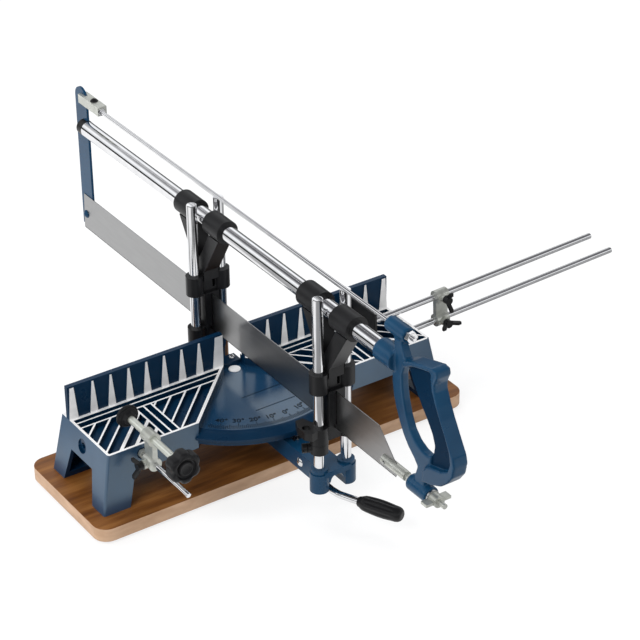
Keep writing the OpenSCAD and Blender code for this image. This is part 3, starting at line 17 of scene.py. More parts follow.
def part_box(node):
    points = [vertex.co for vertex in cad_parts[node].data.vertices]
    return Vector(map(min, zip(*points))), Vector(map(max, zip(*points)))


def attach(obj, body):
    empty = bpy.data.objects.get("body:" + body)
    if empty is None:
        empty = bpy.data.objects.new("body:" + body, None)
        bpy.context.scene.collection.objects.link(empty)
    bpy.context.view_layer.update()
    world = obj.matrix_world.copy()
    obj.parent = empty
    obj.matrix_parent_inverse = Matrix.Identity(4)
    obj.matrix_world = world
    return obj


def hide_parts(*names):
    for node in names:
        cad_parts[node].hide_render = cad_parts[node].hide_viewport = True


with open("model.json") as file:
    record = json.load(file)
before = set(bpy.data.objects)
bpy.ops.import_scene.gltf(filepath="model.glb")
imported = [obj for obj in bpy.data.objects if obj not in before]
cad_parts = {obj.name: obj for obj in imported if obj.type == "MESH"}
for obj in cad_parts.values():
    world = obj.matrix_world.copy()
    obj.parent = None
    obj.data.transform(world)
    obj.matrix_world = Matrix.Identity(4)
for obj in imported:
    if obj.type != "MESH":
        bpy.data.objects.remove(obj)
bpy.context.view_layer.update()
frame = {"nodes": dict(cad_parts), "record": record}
nodes = frame["nodes"]
mm = 0.001
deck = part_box("base_board")[1].z

# %% [markdown]
# ## The camera
# A product photographer stands back and uses a long lens, so that the saw isn't distorted. A
# camera could be moved about until the view looks right, but small errors would then show in
# every part. The numbers below were found instead by matching straight edges of the real saw in
# the picture: where the camera stands, how far it is turned and tilted, and how long its lens is.

# %% Place the camera
turn = math.radians(-33.74)
tilt = math.radians(30.98)
roll = math.radians(-0.59)
stand = Vector((-0.97336, -1.60402, 1.22885 + deck))
lens_length = 131.26
film_width = 36
nearest_sight = 0.05
farthest_sight = 20
back = Vector((math.sin(turn) * math.cos(tilt), -math.cos(turn) * math.cos(tilt), math.sin(tilt)))
level = Vector((math.cos(turn), math.sin(turn), 0))
up = back.cross(level)
right = math.cos(roll) * level + math.sin(roll) * up
above = math.cos(roll) * up - math.sin(roll) * level
camera_data = bpy.data.cameras.new("camera")
camera_data.sensor_width = film_width
camera_data.lens = lens_length
camera_data.clip_start = nearest_sight
camera_data.clip_end = farthest_sight
camera = bpy.data.objects.new("camera", camera_data)
bpy.context.scene.collection.objects.link(camera)
camera.matrix_world = Matrix((right, above, back)).transposed().to_4x4()
camera.location = stand
bpy.context.scene.camera = camera
print("camera stands", round(stand.length, 2), "m from the pivot")

# %% [markdown]
# ## Wiring a finish
# A finish in Blender is a small tree of nodes: patterns and measures go in at one end, and a
# shader comes out at the other. The nodes could be laid out by hand in the shader editor, but a
# script can be read and run again. Each kind of node that is used often has a short function
# that adds it, wires it and hands back its result.

# %% Nodes that most finishes need
def new_material(name):
    """A material with its Principled shader, ready for wiring."""
    material = bpy.data.materials.new(name)
    material.use_nodes = True
    shader = material.node_tree.nodes["Principled BSDF"]
    return material, material.node_tree, shader


def coordinates(tree, scale=(1, 1, 1), source="Object"):
    """The piece's own coordinates in metres, or its normals, times a scale."""
    place = tree.nodes.new("ShaderNodeTexCoord")
    mapping = tree.nodes.new("ShaderNodeMapping")
    mapping.inputs["Scale"].default_value = scale
    tree.links.new(place.outputs[source], mapping.inputs["Vector"])
    return mapping.outputs["Vector"]


def split(tree, vector):
    """The x, y and z of a vector."""
    parts = tree.nodes.new("ShaderNodeSeparateXYZ")
    tree.links.new(vector, parts.inputs["Vector"])
    return parts.outputs["X"], parts.outputs["Y"], parts.outputs["Z"]


def length_of(tree, vector):
    """The length of a vector."""
    measure = tree.nodes.new("ShaderNodeVectorMath")
    measure.operation = "LENGTH"
    tree.links.new(vector, measure.inputs[0])
    return measure.outputs["Value"]


def calculate(tree, operation, *values):
    """One step of arithmetic; each value is a number or a node's result."""
    step = tree.nodes.new("ShaderNodeMath")
    step.operation = operation
    for socket, value in zip(step.inputs, values):
        if isinstance(value, float):
            socket.default_value = value
        else:
            tree.links.new(value, socket)
    return step.outputs["Value"]


def between(tree, value, low, high):
    """0 where the value is at low, 1 where it is at high."""
    step = tree.nodes.new("ShaderNodeMapRange")
    step.inputs["From Min"].default_value = low
    step.inputs["From Max"].default_value = high
    tree.links.new(value, step.inputs["Value"])
    return step.outputs["Result"]


def spread(tree, value, low, high):
    """Carries a value from 0 to 1 over to the range from low to high."""
    reach = tree.nodes.new("ShaderNodeMapRange")
    reach.inputs["To Min"].default_value = low
    reach.inputs["To Max"].default_value = high
    tree.links.new(value, reach.inputs["Value"])
    return reach.outputs["Result"]


def blend_colours(tree, value, stops):
    """A colour ramp; stops are (place, colour) pairs."""
    ramp = tree.nodes.new("ShaderNodeValToRGB")
    while len(ramp.color_ramp.elements) < len(stops):
        ramp.color_ramp.elements.new(0.5)
    for element, (place, colour) in zip(ramp.color_ramp.elements, stops):
        element.position = place
        element.color = (*colour, 1)
    tree.links.new(value, ramp.inputs["Fac"])
    return ramp.outputs["Color"]


def mix_colours(tree, factor, first, second):
    """The first colour at factor 0, the second at 1; the second may be a plain colour."""
    joint = tree.nodes.new("ShaderNodeMix")
    joint.data_type = "RGBA"
    tree.links.new(factor, joint.inputs["Factor"])
    tree.links.new(first, joint.inputs["A"])
    if isinstance(second, tuple):
        joint.inputs["B"].default_value = second
    else:
        tree.links.new(second, joint.inputs["B"])
    return joint.outputs["Result"]


print("node helpers ready")

# %% [markdown]
# ## The white sheet under the saw
# A product picture is taken on a sheet of paper that runs away to white. The saw could be cut out
# and laid on white afterwards, but then the soft shadow under its board would be lost, and so
# would the light that the paper sends back. So there is a real floor, far wider than the saw.

# %% Lay the sheet
sheet_reach = 6
floor_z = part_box("board_feet")[0].z
sheet_corners = [(-sheet_reach, -sheet_reach, floor_z), (sheet_reach, -sheet_reach, floor_z),
                 (sheet_reach, sheet_reach, floor_z), (-sheet_reach, sheet_reach, floor_z)]
floor_mesh = bpy.data.meshes.new("floor")
floor_mesh.from_pydata(sheet_corners, [], [(0, 1, 2, 3)])
floor = bpy.data.objects.new("floor", floor_mesh)
bpy.context.scene.collection.objects.link(floor)
print("sheet lies at", round(floor_z / mm, 1), "mm")

# %% [markdown]
# ## What polished metal sees in the sheet
# Chrome has no colour of its own: it shows the studio round it. A photographer stands white and
# black cards about the saw, so that each rod gets a bright streak with a dark edge. Cards could be
# modelled here too, but they would throw shadows and get into the view. It is simpler to let the
# sheet change its tone with the bearing, for reflections alone. Three rings, from the saw
# outwards, have cards of their own: a low part mirrors the paper close by, a high one the rest.

# %% Cards for reflections, as tones of the sheet
def grey_stops(pairs):
    """Ramp stops of plain grey from (place, level) pairs."""
    return [(place, (level, level, level)) for place, level in pairs]


paper, tree, shader = new_material("white paper")
east, north, _ = split(tree, tree.nodes.new("ShaderNodeTexCoord").outputs["Object"])
bearing = between(tree, calculate(tree, "ARCTAN2", east, north), -math.pi, math.pi)
away = length_of(tree, coordinates(tree, (1, 1, 0)))
near_cards = blend_colours(tree, bearing, grey_stops(
    [(0.0, 0.9), (0.24, 0.9), (0.28, 0.20), (0.38, 0.22), (0.395, 0.9), (0.56, 0.9), (0.60, 0.10),
     (0.72, 0.12), (0.76, 1.0), (1.0, 0.9)]))
middle_cards = blend_colours(tree, bearing, grey_stops(
    [(0.0, 0.9), (0.31, 0.9), (0.33, 0.10), (0.38, 0.10), (0.395, 1.0), (0.56, 1.0), (0.60, 0.10),
     (0.85, 0.10), (0.88, 0.9), (1.0, 0.9)]))
far_cards = blend_colours(tree, bearing, grey_stops(
    [(0.0, 0.0), (0.12, 0.0), (0.17, 0.95), (0.30, 0.9), (0.33, 0.10), (0.38, 0.10), (0.395, 1.0),
     (0.56, 1.0), (0.60, 0.10), (0.85, 0.10), (0.88, 0.95), (0.95, 0.95), (0.98, 0.0)]))
near_ring_ends = (0.14, 0.18)
middle_ring_ends = (0.26, 0.31)
floor_cards = mix_colours(tree, between(tree, away, *near_ring_ends), near_cards, middle_cards)
floor_cards = mix_colours(tree, between(tree, away, *middle_ring_ends), floor_cards, far_cards)
print("rings of cards end at", near_ring_ends[0], "and", middle_ring_ends[0], "m")

# %% [markdown]
# ## The sheet's own finish
# Plain paper under four lamps comes out pale grey in places. More light would bleach the saw, so
# the sheet glows instead, for most of what the camera and the reflections see of it. The rest is
# ordinary matt paper, which still takes the saw's shadow.

# %% Make the sheet glow
paper_tone = 0.86
sheet_white = 1.08
glow_share = 0.72
shader.inputs["Base Color"].default_value = (paper_tone, paper_tone, paper_tone, 1)
shader.inputs["Roughness"].default_value = 0.9
shader.inputs["Specular IOR Level"].default_value = 0.1
rays = tree.nodes.new("ShaderNodeLightPath")
seen = calculate(tree, "MAXIMUM", rays.outputs["Is Camera Ray"], rays.outputs["Is Glossy Ray"])
glow = tree.nodes.new("ShaderNodeEmission")
tree.links.new(mix_colours(tree, rays.outputs["Is Camera Ray"], floor_cards,
                           (sheet_white, sheet_white, sheet_white, 1)), glow.inputs["Color"])
paper_and_glow = tree.nodes.new("ShaderNodeMixShader")
tree.links.new(calculate(tree, "MULTIPLY", seen, glow_share), paper_and_glow.inputs["Fac"])
tree.links.new(shader.outputs["BSDF"], paper_and_glow.inputs[1])
tree.links.new(glow.outputs["Emission"], paper_and_glow.inputs[2])
tree.links.new(paper_and_glow.outputs["Shader"], tree.nodes["Material Output"].inputs["Surface"])
floor_mesh.materials.append(paper)
print("the sheet glows for", glow_share, "of what is seen of it")

# %% [markdown]
# ## The room
# The room gives an even light from all sides, a little stronger from above, which keeps the
# undersides from going black. A picture of a real studio could be wrapped round the scene, but a
# ramp by height is enough and needs no file. Reflections see another ramp: one bright band of
# cards at half height between dark ones, which draws a clean line along the tube and the posts.

# %% Light the room
world = bpy.data.worlds.new("studio")
bpy.context.scene.world = world
world.use_nodes = True
sky = world.node_tree
height = split(sky, sky.nodes.new("ShaderNodeTexCoord").outputs["Generated"])[2]
even_light = blend_colours(sky, height, [(0.0, (0.30, 0.30, 0.31)), (0.4, (0.46, 0.47, 0.49)),
                                         (1.0, (0.66, 0.68, 0.71))])
wall_cards = blend_colours(sky, height, [(0.0, (0.02, 0.02, 0.02)), (0.16, (0.03, 0.03, 0.03)),
                                         (0.24, (0.80, 0.82, 0.84)), (0.50, (1.15, 1.16, 1.18)),
                                         (0.66, (0.10, 0.10, 0.11)), (0.80, (0.16, 0.16, 0.17))])
sky_rays = sky.nodes.new("ShaderNodeLightPath")
room = mix_colours(sky, sky_rays.outputs["Is Glossy Ray"], even_light, wall_cards)
sky.links.new(room, sky.nodes["Background"].inputs["Color"])
print("room lit by", world.name)

# %% [markdown]
# ## The lamps
# Softboxes are lamps behind a wide cloth. A small lamp would give hard shadows of the thin rods,
# and a wide one gives soft ones. They are left out of reflections, because the cards already
# draw the streaks on the chrome, and a second set would make it look busy.

# %% Hang four softboxes
def softbox(name, place, aim, size, power):
    """A rectangular lamp aimed at a point; heights are measured from the board's top."""
    lamp = bpy.data.lights.new(name, "AREA")
    lamp.shape = "RECTANGLE"
    lamp.size, lamp.size_y = size
    lamp.energy = power
    holder = bpy.data.objects.new(name, lamp)
    bpy.context.scene.collection.objects.link(holder)
    holder.location = (place[0], place[1], place[2] + deck)
    gaze = Vector((aim[0], aim[1], aim[2] + deck)) - holder.location
    holder.rotation_euler = gaze.to_track_quat("-Z", "Y").to_euler()
    holder.visible_glossy = False


over_pivot = (0, 0, 0.1)
before_pivot = (0, -0.1, 0.1)
softbox("key", place=(-1.5, -0.6, 1.5), aim=over_pivot, size=(1.1, 0.8), power=24)
softbox("side", place=(1.4, -1.4, 0.9), aim=before_pivot, size=(0.5, 1.2), power=9)
softbox("rear", place=(-1.5, 1.5, 0.5), aim=over_pivot, size=(0.9, 0.6), power=16)
softbox("top", place=(0.3, 0.9, 1.9), aim=over_pivot, size=(1.6, 0.6), power=15)
print("softboxes:", len(bpy.data.lights))

# %% [markdown]
# ## Plain tones
# Blender can bend the tones of a picture as film does, which saves bright skies but greys white
# paper. The standard view leaves the tones as they are, so the sheet stays white.

# %% Show the tones as they are
view = bpy.context.scene.view_settings
view.view_transform = "Standard"
print("view transform:", view.view_transform)

# %% [markdown]
# ## Blue paint
# The castings have a dark blue stove paint, smooth but not quite even in tone. A flat colour
# would look like plastic. A wide soft noise shifts the tone a little, another one the gloss, and
# a very fine one raises the surface by a fraction of a millimetre, as sprayed paint has it. The
# paint is mixed in five tones. Most of the base casting, its pockets included, gets a darker and
# duller copy: painted shade. The scale on the sector gets a much darker copy, also painted shade,
# so that it reads dark on the plate's sheen. The outer walls and the plate get glossier copies.

# %% Mix the paint
paint_cloud = 26
gloss_cloud = 60
spray_grain = 700
spray_height = 0.2 * mm
paint_coat = 0.08


def noise(tree, where, scale, detail=3.0, rough=0.5):
    """A noise pattern's value, from 0 to 1; a larger scale makes a finer pattern."""
    pattern = tree.nodes.new("ShaderNodeTexNoise")
    pattern.inputs["Scale"].default_value = scale
    pattern.inputs["Detail"].default_value = detail
    pattern.inputs["Roughness"].default_value = rough
    tree.links.new(where, pattern.inputs["Vector"])
    return pattern.outputs["Fac"]


def bump(tree, shader, value, strength, depth):
    """Raises the surface by a pattern; the depth is in metres."""
    relief = tree.nodes.new("ShaderNodeBump")
    relief.inputs["Strength"].default_value = strength
    relief.inputs["Distance"].default_value = depth
    tree.links.new(value, relief.inputs["Height"])
    tree.links.new(relief.outputs["Normal"], shader.inputs["Normal"])


def make_paint(name, dark, light, gloss=0.35, bend=1.5, rough=(0.22, 0.38)):
    """Stove paint between two tones; bend is how strongly its skin bends light."""
    material, tree, shader = new_material(name)
    where = coordinates(tree)
    cloud = noise(tree, where, paint_cloud, 4)
    tree.links.new(blend_colours(tree, cloud, [(0.25, dark), (0.75, light)]), shader.inputs["Base Color"])
    tree.links.new(spread(tree, noise(tree, where, gloss_cloud), *rough), shader.inputs["Roughness"])
    shader.inputs["IOR"].default_value = bend
    shader.inputs["Specular IOR Level"].default_value = gloss
    shader.inputs["Specular Tint"].default_value = (0.86, 0.98, 1.0, 1)
    shader.inputs["Coat Weight"].default_value = paint_coat
    shader.inputs["Coat Roughness"].default_value = 0.12
    bump(tree, shader, noise(tree, where, spray_grain, 2), 0.10, spray_height)
    return material


blue = ((0.003, 0.033, 0.080), (0.006, 0.048, 0.108))
wall_blue = ((0.003, 0.031, 0.080), (0.006, 0.046, 0.108))
paint = make_paint("blue paint", *blue, 0.30)
# A darker, duller copy of the paint for the base casting: painted shade.
painted_shade_paint = make_paint("blue paint, painted shade", (0.001, 0.016, 0.044), (0.002, 0.024, 0.060), 0.22)
wall_paint = make_paint("blue paint on outer walls", *wall_blue, 0.5, 2.0, (0.26, 0.40))
plate_paint = make_paint("blue paint on the plate", *wall_blue, 0.5, 2.2, (0.16, 0.24))
# A much darker copy for the strokes, steps and numbers of the scale: painted shade, so they read dark.
scale_painted_shade = make_paint("dark scale paint, painted shade", (0.002, 0.006, 0.012), (0.003, 0.009, 0.018))
print("mixed:", [made.name for made in (paint, painted_shade_paint, wall_paint, plate_paint, scale_painted_shade)])

# %% [markdown]
# ## Bare and plated metal
# Posts, tube and rods are chromed, small steel parts are plated with zinc, the lands of the
# casting are milled, and the blade is ground. They are all metal, and differ in tone, in gloss and
# in the run of their grain. One function can make them all: a noise that is drawn out along the
# grain sets the tone and the gloss together, as fine scratches do.

# %% Chrome, zinc, bright steel and milled aluminium
scratch_depth = 0.1 * mm


def make_metal(name, dark, light, rough, grain, stretch=(1, 1, 1), relief=0.05, metallic=1.0):
    """A metal between two tones, with grain that is stretched along an axis."""
    material, tree, shader = new_material(name)
    grains = noise(tree, coordinates(tree, stretch), grain, 4)
    tree.links.new(blend_colours(tree, grains, [(0.3, dark), (0.7, light)]), shader.inputs["Base Color"])
    tree.links.new(spread(tree, grains, *rough), shader.inputs["Roughness"])
    shader.inputs["Metallic"].default_value = metallic
    bump(tree, shader, grains, relief, scratch_depth)
    return material


chrome = make_metal("chrome", (0.80, 0.80, 0.81), (0.90, 0.90, 0.91), (0.04, 0.08), 90, relief=0.003)
bright_steel = make_metal("bright steel", (0.50, 0.50, 0.50), (0.66, 0.66, 0.65), (0.20, 0.34), 260)
zinc = make_metal("zinc plating", (0.50, 0.51, 0.46), (0.66, 0.67, 0.62), (0.28, 0.46), 140,
                  metallic=0.75)
pale_zinc = make_metal("pale yellow zinc", (0.74, 0.76, 0.68), (0.84, 0.86, 0.78), (0.24, 0.34), 140,
                       relief=0.02, metallic=0.75)
milled = make_metal("milled aluminium", (0.90, 0.89, 0.88), (0.98, 0.97, 0.96), (0.50, 0.66), 120,
                    stretch=(0.25, 4, 1), metallic=0.20)
tooth_steel = make_metal("hardened teeth", (0.05, 0.05, 0.055), (0.10, 0.10, 0.10), (0.30, 0.45), 300)
blade_steel = make_metal("blade steel", (0.38, 0.38, 0.38), (0.41, 0.41, 0.41), (0.29, 0.34), 160,
                         stretch=(1, 0.2, 1.5), relief=0.01)
metals = (chrome, bright_steel, zinc, pale_zinc, milled, tooth_steel, blade_steel)
print("metals:", [made.name for made in metals])

# %% [markdown]
# ## Plastic and rubber
# Guides, knob, grip and wing screws are moulded in black plastic, whose mould was spark-eroded,
# which leaves a fine even grain. Pure black would swallow every edge, so the tone stays just above
# it, and the grain breaks up the gloss. The board's feet are the same recipe, but duller.

# %% Black plastic and rubber
mould_grain = 1500
mould_cloud = 40
mould_depth = 0.1 * mm
paler = 1.7


def make_plastic(name, tone, rough):
    """Moulded plastic of one dark tone, with a fine grain."""
    material, tree, shader = new_material(name)
    where = coordinates(tree)
    fine = noise(tree, where, mould_grain, 2)
    wide = noise(tree, where, mould_cloud, 3)
    light = tuple(paler * part for part in tone)
    tree.links.new(blend_colours(tree, wide, [(0.2, tone), (0.8, light)]), shader.inputs["Base Color"])
    tree.links.new(spread(tree, wide, *rough), shader.inputs["Roughness"])
    shader.inputs["Specular IOR Level"].default_value = 0.32
    bump(tree, shader, fine, 0.15, mould_depth)
    return material


plastic = make_plastic("black plastic", (0.006, 0.006, 0.0065), (0.30, 0.46))
rubber = make_plastic("black rubber", (0.014, 0.014, 0.014), (0.62, 0.80))
print("mouldings in", plastic.name, "and", rubber.name)

# %% [markdown]
# ## The board
# The saw is screwed to a board with a varnished, streaked brown top and pale sawn edges. A photo
# of wood would do for the top, but it would have to be laid round every edge. A noise that is nine
# times finer across the board than along it gives the streaks, and a second one the pores. Where
# a face looks up it gets the brown of the top, and elsewhere the pale wood of the edges.

# %% Varnished wood
streak_run = (1, 9, 9)
pore_run = (2, 60, 60)
saw_mark_run = (1, 1, 3)
pore_share = 0.22
varnish_relief = 0.4 * mm


def make_board_wood():
    """A brown streaked top and pale edges; the grain runs along x."""
    material, tree, shader = new_material("varnished board")
    streak = noise(tree, coordinates(tree, streak_run), 14, 6, 0.62)
    pores = noise(tree, coordinates(tree, pore_run), 20, 3)
    grain = calculate(tree, "MULTIPLY_ADD", pores, pore_share, streak)
    top = blend_colours(tree, grain, [(0.40, (0.095, 0.030, 0.005)), (0.58, (0.175, 0.062, 0.012)),
                                      (0.80, (0.270, 0.112, 0.028))])
    sawn = noise(tree, coordinates(tree, saw_mark_run), 45, 4)
    edge = blend_colours(tree, sawn, [(0.3, (0.430, 0.260, 0.150)), (0.7, (0.560, 0.360, 0.225))])
    facing = tree.nodes.new("ShaderNodeNewGeometry")
    looks_up = between(tree, split(tree, facing.outputs["True Normal"])[2], 0.80, 0.90)
    tree.links.new(mix_colours(tree, looks_up, edge, top), shader.inputs["Base Color"])
    tree.links.new(spread(tree, streak, 0.34, 0.50), shader.inputs["Roughness"])
    bump(tree, shader, streak, 0.10, varnish_relief)
    return material


board_wood = make_board_wood()
print("board in", board_wood.name)

# %% [markdown]
# ## Rounding the edges of machined and cast parts
# No real part has a perfectly sharp edge: castings have radii, and turned parts a small chamfer
# that catches the light. The CAD solid stays as it is, and a dressed copy takes its place. The
# copy's flat triangles are joined into whole faces first, so that the bevel runs evenly along the
# true edges. A shader could fake the rounding, but only modelled edges keep their highlight from
# every side.

# %% A dressed copy of a CAD node
weld_gap = 0.001 * mm
flat_within = math.radians(0.4)


def clean_copy(node):
    """A bmesh of the node with welded corners and whole flat faces."""
    shape = bmesh.new()
    shape.from_mesh(nodes[node].data)
    bmesh.ops.remove_doubles(shape, verts=shape.verts, dist=weld_gap)
    bmesh.ops.dissolve_limit(shape, angle_limit=flat_within, verts=shape.verts, edges=shape.edges,
                             delimit={"NORMAL"})
    return shape


def body_holding(node):
    """The name of the body that a node belongs to."""
    groups = frame["record"]["behaviour"]["bodies"]
    return next(body for body, members in groups.items() if node in members)


def put(name, shape, material, body, bevel=0.0, sharp=30, replaces=()):
    """Turns a bmesh into a piece that rides on a body; edges over sharp degrees are rounded."""
    mesh = bpy.data.meshes.new(name)
    shape.normal_update()
    shape.to_mesh(mesh)
    shape.free()
    piece = bpy.data.objects.new(name, mesh)
    bpy.context.scene.collection.objects.link(piece)
    for finish in material if isinstance(material, tuple) else (material,):
        mesh.materials.append(finish)
    for face in mesh.polygons:
        face.use_smooth = True
    if bevel:
        round_off = piece.modifiers.new("round edges", "BEVEL")
        round_off.width = bevel
        round_off.segments = 2
        round_off.limit_method = "ANGLE"
        round_off.angle_limit = math.radians(sharp)
    settle = piece.modifiers.new("face normals", "WEIGHTED_NORMAL")
    settle.keep_sharp = True
    mesh.set_sharp_from_angle(angle=math.radians(sharp + 8))
    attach(piece, body)
    if replaces:
        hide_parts(*replaces)
    return piece


def dress(node, material, bevel):
    """Replaces a CAD node by a copy with rounded edges and a finish."""
    put(node + "_dressed", clean_copy(node), material, body_holding(node), bevel, replaces=[node])


print("dressing helpers ready")

# %% [markdown]
# ## The plain parts
# Most parts need only a finish and soft edges: a large radius on castings and mouldings, a small
# one on screws. Each could have a cell of its own, but a table is easier to check and change. It
# gives the finish and the radius in millimetres.

# %% Dress the plain parts
plain_parts = {
    "pivot_pin": (milled, 0.25),
    "pivot_nut": (zinc, 0.3),
    "rear_screw": (chrome, 0.15),
    "leg_screws": (bright_steel, 0.3),
    "clamp_rod_nut": (zinc, 0.35),
    "stop_rod_nuts": (zinc, 0.35),
    "swing_arm": (paint, 0.9),
    "cross_pin": (chrome, 0.15),
    "lever_rod": (chrome, 0.0),
    "lever_pawl": (bright_steel, 0.3),
    "depth_collar": (plastic, 0.5),
    "depth_screw": (plastic, 0.4),
    "front_blade_guide": (plastic, 0.5),
    "rear_blade_guide": (plastic, 0.5),
    "tube_end_plug": (plastic, 0.8),
    "rear_strip": (paint, 0.4),
    "clevis": (zinc, 0.5),
    "clevis_screw": (plastic, 0.2),
    "tie_nuts": (chrome, 0.4),
    "blade_rear_screw": (paint, 0.25),
    "blade_holder": (zinc, 0.4),
    "holder_pin": (bright_steel, 0.3),
    "draw_bar": (zinc, 0.3),
    "tension_washer": (bright_steel, 0.3),
    "tension_nut": (zinc, 0.6),
    "clamp_bracket": (zinc, 0.9),
    "clamp_wing_screw": (plastic, 0.7),
    "stop_bracket": (zinc, 0.9),
    "support_wing_screw": (plastic, 0.7),
    "stop_wing_screw": (plastic, 0.7),
    "stop_plate": (plastic, 0.5),
    "board_feet": (rubber, 0.6),
    "base_board": (board_wood, 1.0),
    "front_guide_frame": (plastic, 0.8),
    "rear_guide_frame": (plastic, 0.8),
}
for node, (material, radius) in plain_parts.items():
    dress(node, material, radius * mm)
print("dressed parts:", len(plain_parts))

# %% [markdown]
# ## The base casting's corners
# The tall upright corners of the casting are rounder than its other edges. One bevel for all
# edges can't do that, and picking edges by hand can't be repeated. So the long upright edges at
# the front are found by their length and place, and rounded before the rest.

# %% Round the tall corners
corner_radius = 2.5 * mm
shortest_corner = 45 * mm
corners_from_y = -60 * mm
casting = clean_copy("base_casting")
casting.normal_update()
corners = []
for edge in casting.edges:
    run = edge.verts[1].co - edge.verts[0].co
    upright = abs(run.z) > 0.9 * run.length and run.length > shortest_corner
    if upright and edge.is_convex and edge.verts[0].co.y < corners_from_y:
        corners.append(edge)
bmesh.ops.bevel(casting, geom=corners, offset=corner_radius, offset_type="OFFSET", segments=5,
                profile=0.5, affect="EDGES", clamp_overlap=True)
casting.normal_update()
print("rounded corners:", len(corners))

# %% [markdown]
# ## Paint and machined lands
# After painting, the tops of the ribs, the table's border and the pads on the fence are ground
# flat, so the bare metal shows there. It could be painted on by hand. The faces are easier to find
# by where they lie and which way they look, and each then gets its finish from a list. The
# sloping outer walls and the plate of the sector get the two brighter, glossier tones of the
# paint. All other faces get the darker, duller copy, which is painted shade.

# %% Give the casting its finishes
table_top = deck + 58.5 * mm
plate_top = deck + 50.0 * mm
close = 0.05 * mm
square_on = 0.99
wall_slope = (0.03, 0.3)
casting_edge = 0.35 * mm
# Index 0, the darker copy with painted shade, covers every face that is not a land, a wall or the plate.
casting_finishes = (painted_shade_paint, milled, wall_paint, plate_paint)
lands = 0
for face in casting.faces:
    place = face.calc_center_median()
    looks_up = face.normal.z > square_on
    on_table = looks_up and abs(place.z - table_top) < close
    on_pad = face.normal.y < -square_on and abs(place.y) < close and place.z > table_top
    if on_table or on_pad:
        face.material_index = casting_finishes.index(milled)
        lands += 1
    elif wall_slope[0] < face.normal.z < wall_slope[1]:
        face.material_index = casting_finishes.index(wall_paint)
    elif looks_up and abs(place.z - plate_top) < close:
        face.material_index = casting_finishes.index(plate_paint)
put("base_casting_dressed", casting, casting_finishes, body_holding("base_casting"), casting_edge,
    replaces=["base_casting"])
print("ground lands:", lands)

# %% [markdown]
# ## The scale on the sector
# The angle of a cut is read on the sector: raised strokes for every degree, longer ones for every
# five and ten. Behind them two straight steps cross the plate. Strokes could be drawn with a
# texture, but real ones stand up and catch the light. Each is a thin block, turned about the
# pivot, so a loop over the degrees makes them all.

# %% Strokes of the scale
raised = 0.25 * mm
stroke_width = 0.6 * mm
stroke_end = 102.0 * mm
last_stroke = 46
step_length = 43 * mm
step_x = -0.5 * mm
step_places = (-46.5 * mm, -72.0 * mm)


def block(shape, centre, size, turn_by=0.0):
    """Adds a block to a bmesh, turned about the vertical."""
    place = Matrix.Translation(centre) @ Matrix.Rotation(turn_by, 4, "Z")
    stretch = Matrix.Diagonal((*size, 1))
    bmesh.ops.create_cube(shape, size=1.0, matrix=place @ stretch)


def stroke_start(degree):
    """The radius where a degree's stroke begins."""
    if degree % 10 == 0:
        return 93.5 * mm
    return 95.3 * mm if degree % 5 == 0 else 97.0 * mm


scale = bmesh.new()
degrees = range(-last_stroke, last_stroke + 1)
for degree in degrees:
    angle = math.radians(degree)
    start = stroke_start(degree)
    middle = (start + stroke_end) / 2
    centre = (middle * math.sin(angle), -middle * math.cos(angle), plate_top + raised / 2)
    block(scale, centre, (stroke_width, stroke_end - start, raised), angle)
for step_y in step_places:
    block(scale, (step_x, step_y, plate_top + raised / 2), (step_length, stroke_width, raised))
# Strokes and steps take the much darker scale paint: painted shade, so they read dark on the plate.
put("sector_scale", scale, scale_painted_shade, body_holding("base_casting"))
print("strokes:", len(degrees), "steps:", len(step_places))

# %% [markdown]
# ## The scale's numbers
# The numbers are cast just inside the strokes, every ten degrees, and each one stands square to
# its stroke. Blender's text makes them as flat letters with a little height, made slightly bolder
# as cast letters are. They are turned into a mesh, because text objects can't ride on a body.

# %% Numbers of the scale
number_size = 8.2 * mm
number_bold = 0.14 * mm
number_radius = 91.6 * mm
numbered = range(-40, 41, 10)
numbers = bmesh.new()
for degree in numbered:
    words = bpy.data.curves.new("number", "FONT")
    words.body = str(abs(degree)) + "\u00b0"
    words.size = number_size
    words.offset = number_bold
    words.align_x = "CENTER"
    words.extrude = raised / 2
    sign = bpy.data.objects.new("number", words)
    bpy.context.scene.collection.objects.link(sign)
    flat = bpy.data.meshes.new_from_object(sign)
    angle = math.radians(degree)
    centre = (number_radius * math.sin(angle), -number_radius * math.cos(angle), plate_top + raised / 2)
    flat.transform(Matrix.Translation(centre) @ Matrix.Rotation(angle, 4, "Z"))
    numbers.from_mesh(flat)
    bpy.data.objects.remove(sign)
    bpy.data.curves.remove(words)
# The numbers take the same darker paint: painted shade.
put("sector_numbers", numbers, scale_painted_shade, body_holding("base_casting"))
print("numbers:", len(numbered))

# %% [markdown]
# ## The blade
# A mitre saw's blade is a thin strip with about fourteen teeth to the inch. Cutting hundreds of
# notches out of it one by one would be slow. Instead the strip's lower edge is trimmed off the
# copy in one cut, and a row of teeth will take its place.

# %% Trim the blade
blade_low, blade_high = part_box("saw_blade")
tooth_pitch = 1.8 * mm
tooth_depth = 1.1 * mm
blade_edge = 0.08 * mm
root_z = blade_low.z + tooth_depth
blade = clean_copy("saw_blade")
everything = blade.verts[:] + blade.edges[:] + blade.faces[:]
trimmed = bmesh.ops.bisect_plane(blade, geom=everything, plane_co=(0, 0, root_z), plane_no=(0, 0, -1),
                                 clear_outer=True)
cut_edges = [part for part in trimmed["geom_cut"] if isinstance(part, bmesh.types.BMEdge)]
bmesh.ops.contextual_create(blade, geom=cut_edges)
put("saw_blade_dressed", blade, blade_steel, body_holding("saw_blade"), blade_edge,
    replaces=["saw_blade"])
print("blade trimmed by", round(tooth_depth / mm, 1), "mm")

# %% [markdown]
# ## The teeth
# Each tooth is a wedge as thick as the blade: three points on each side, and three faces that join
# them. Its tip leans towards the handle. An array modifier could repeat one tooth, but a loop also
# centres the row on the blade. The teeth are hardened, which leaves them darker than the ground
# sides, so they are a piece with a finish of its own.

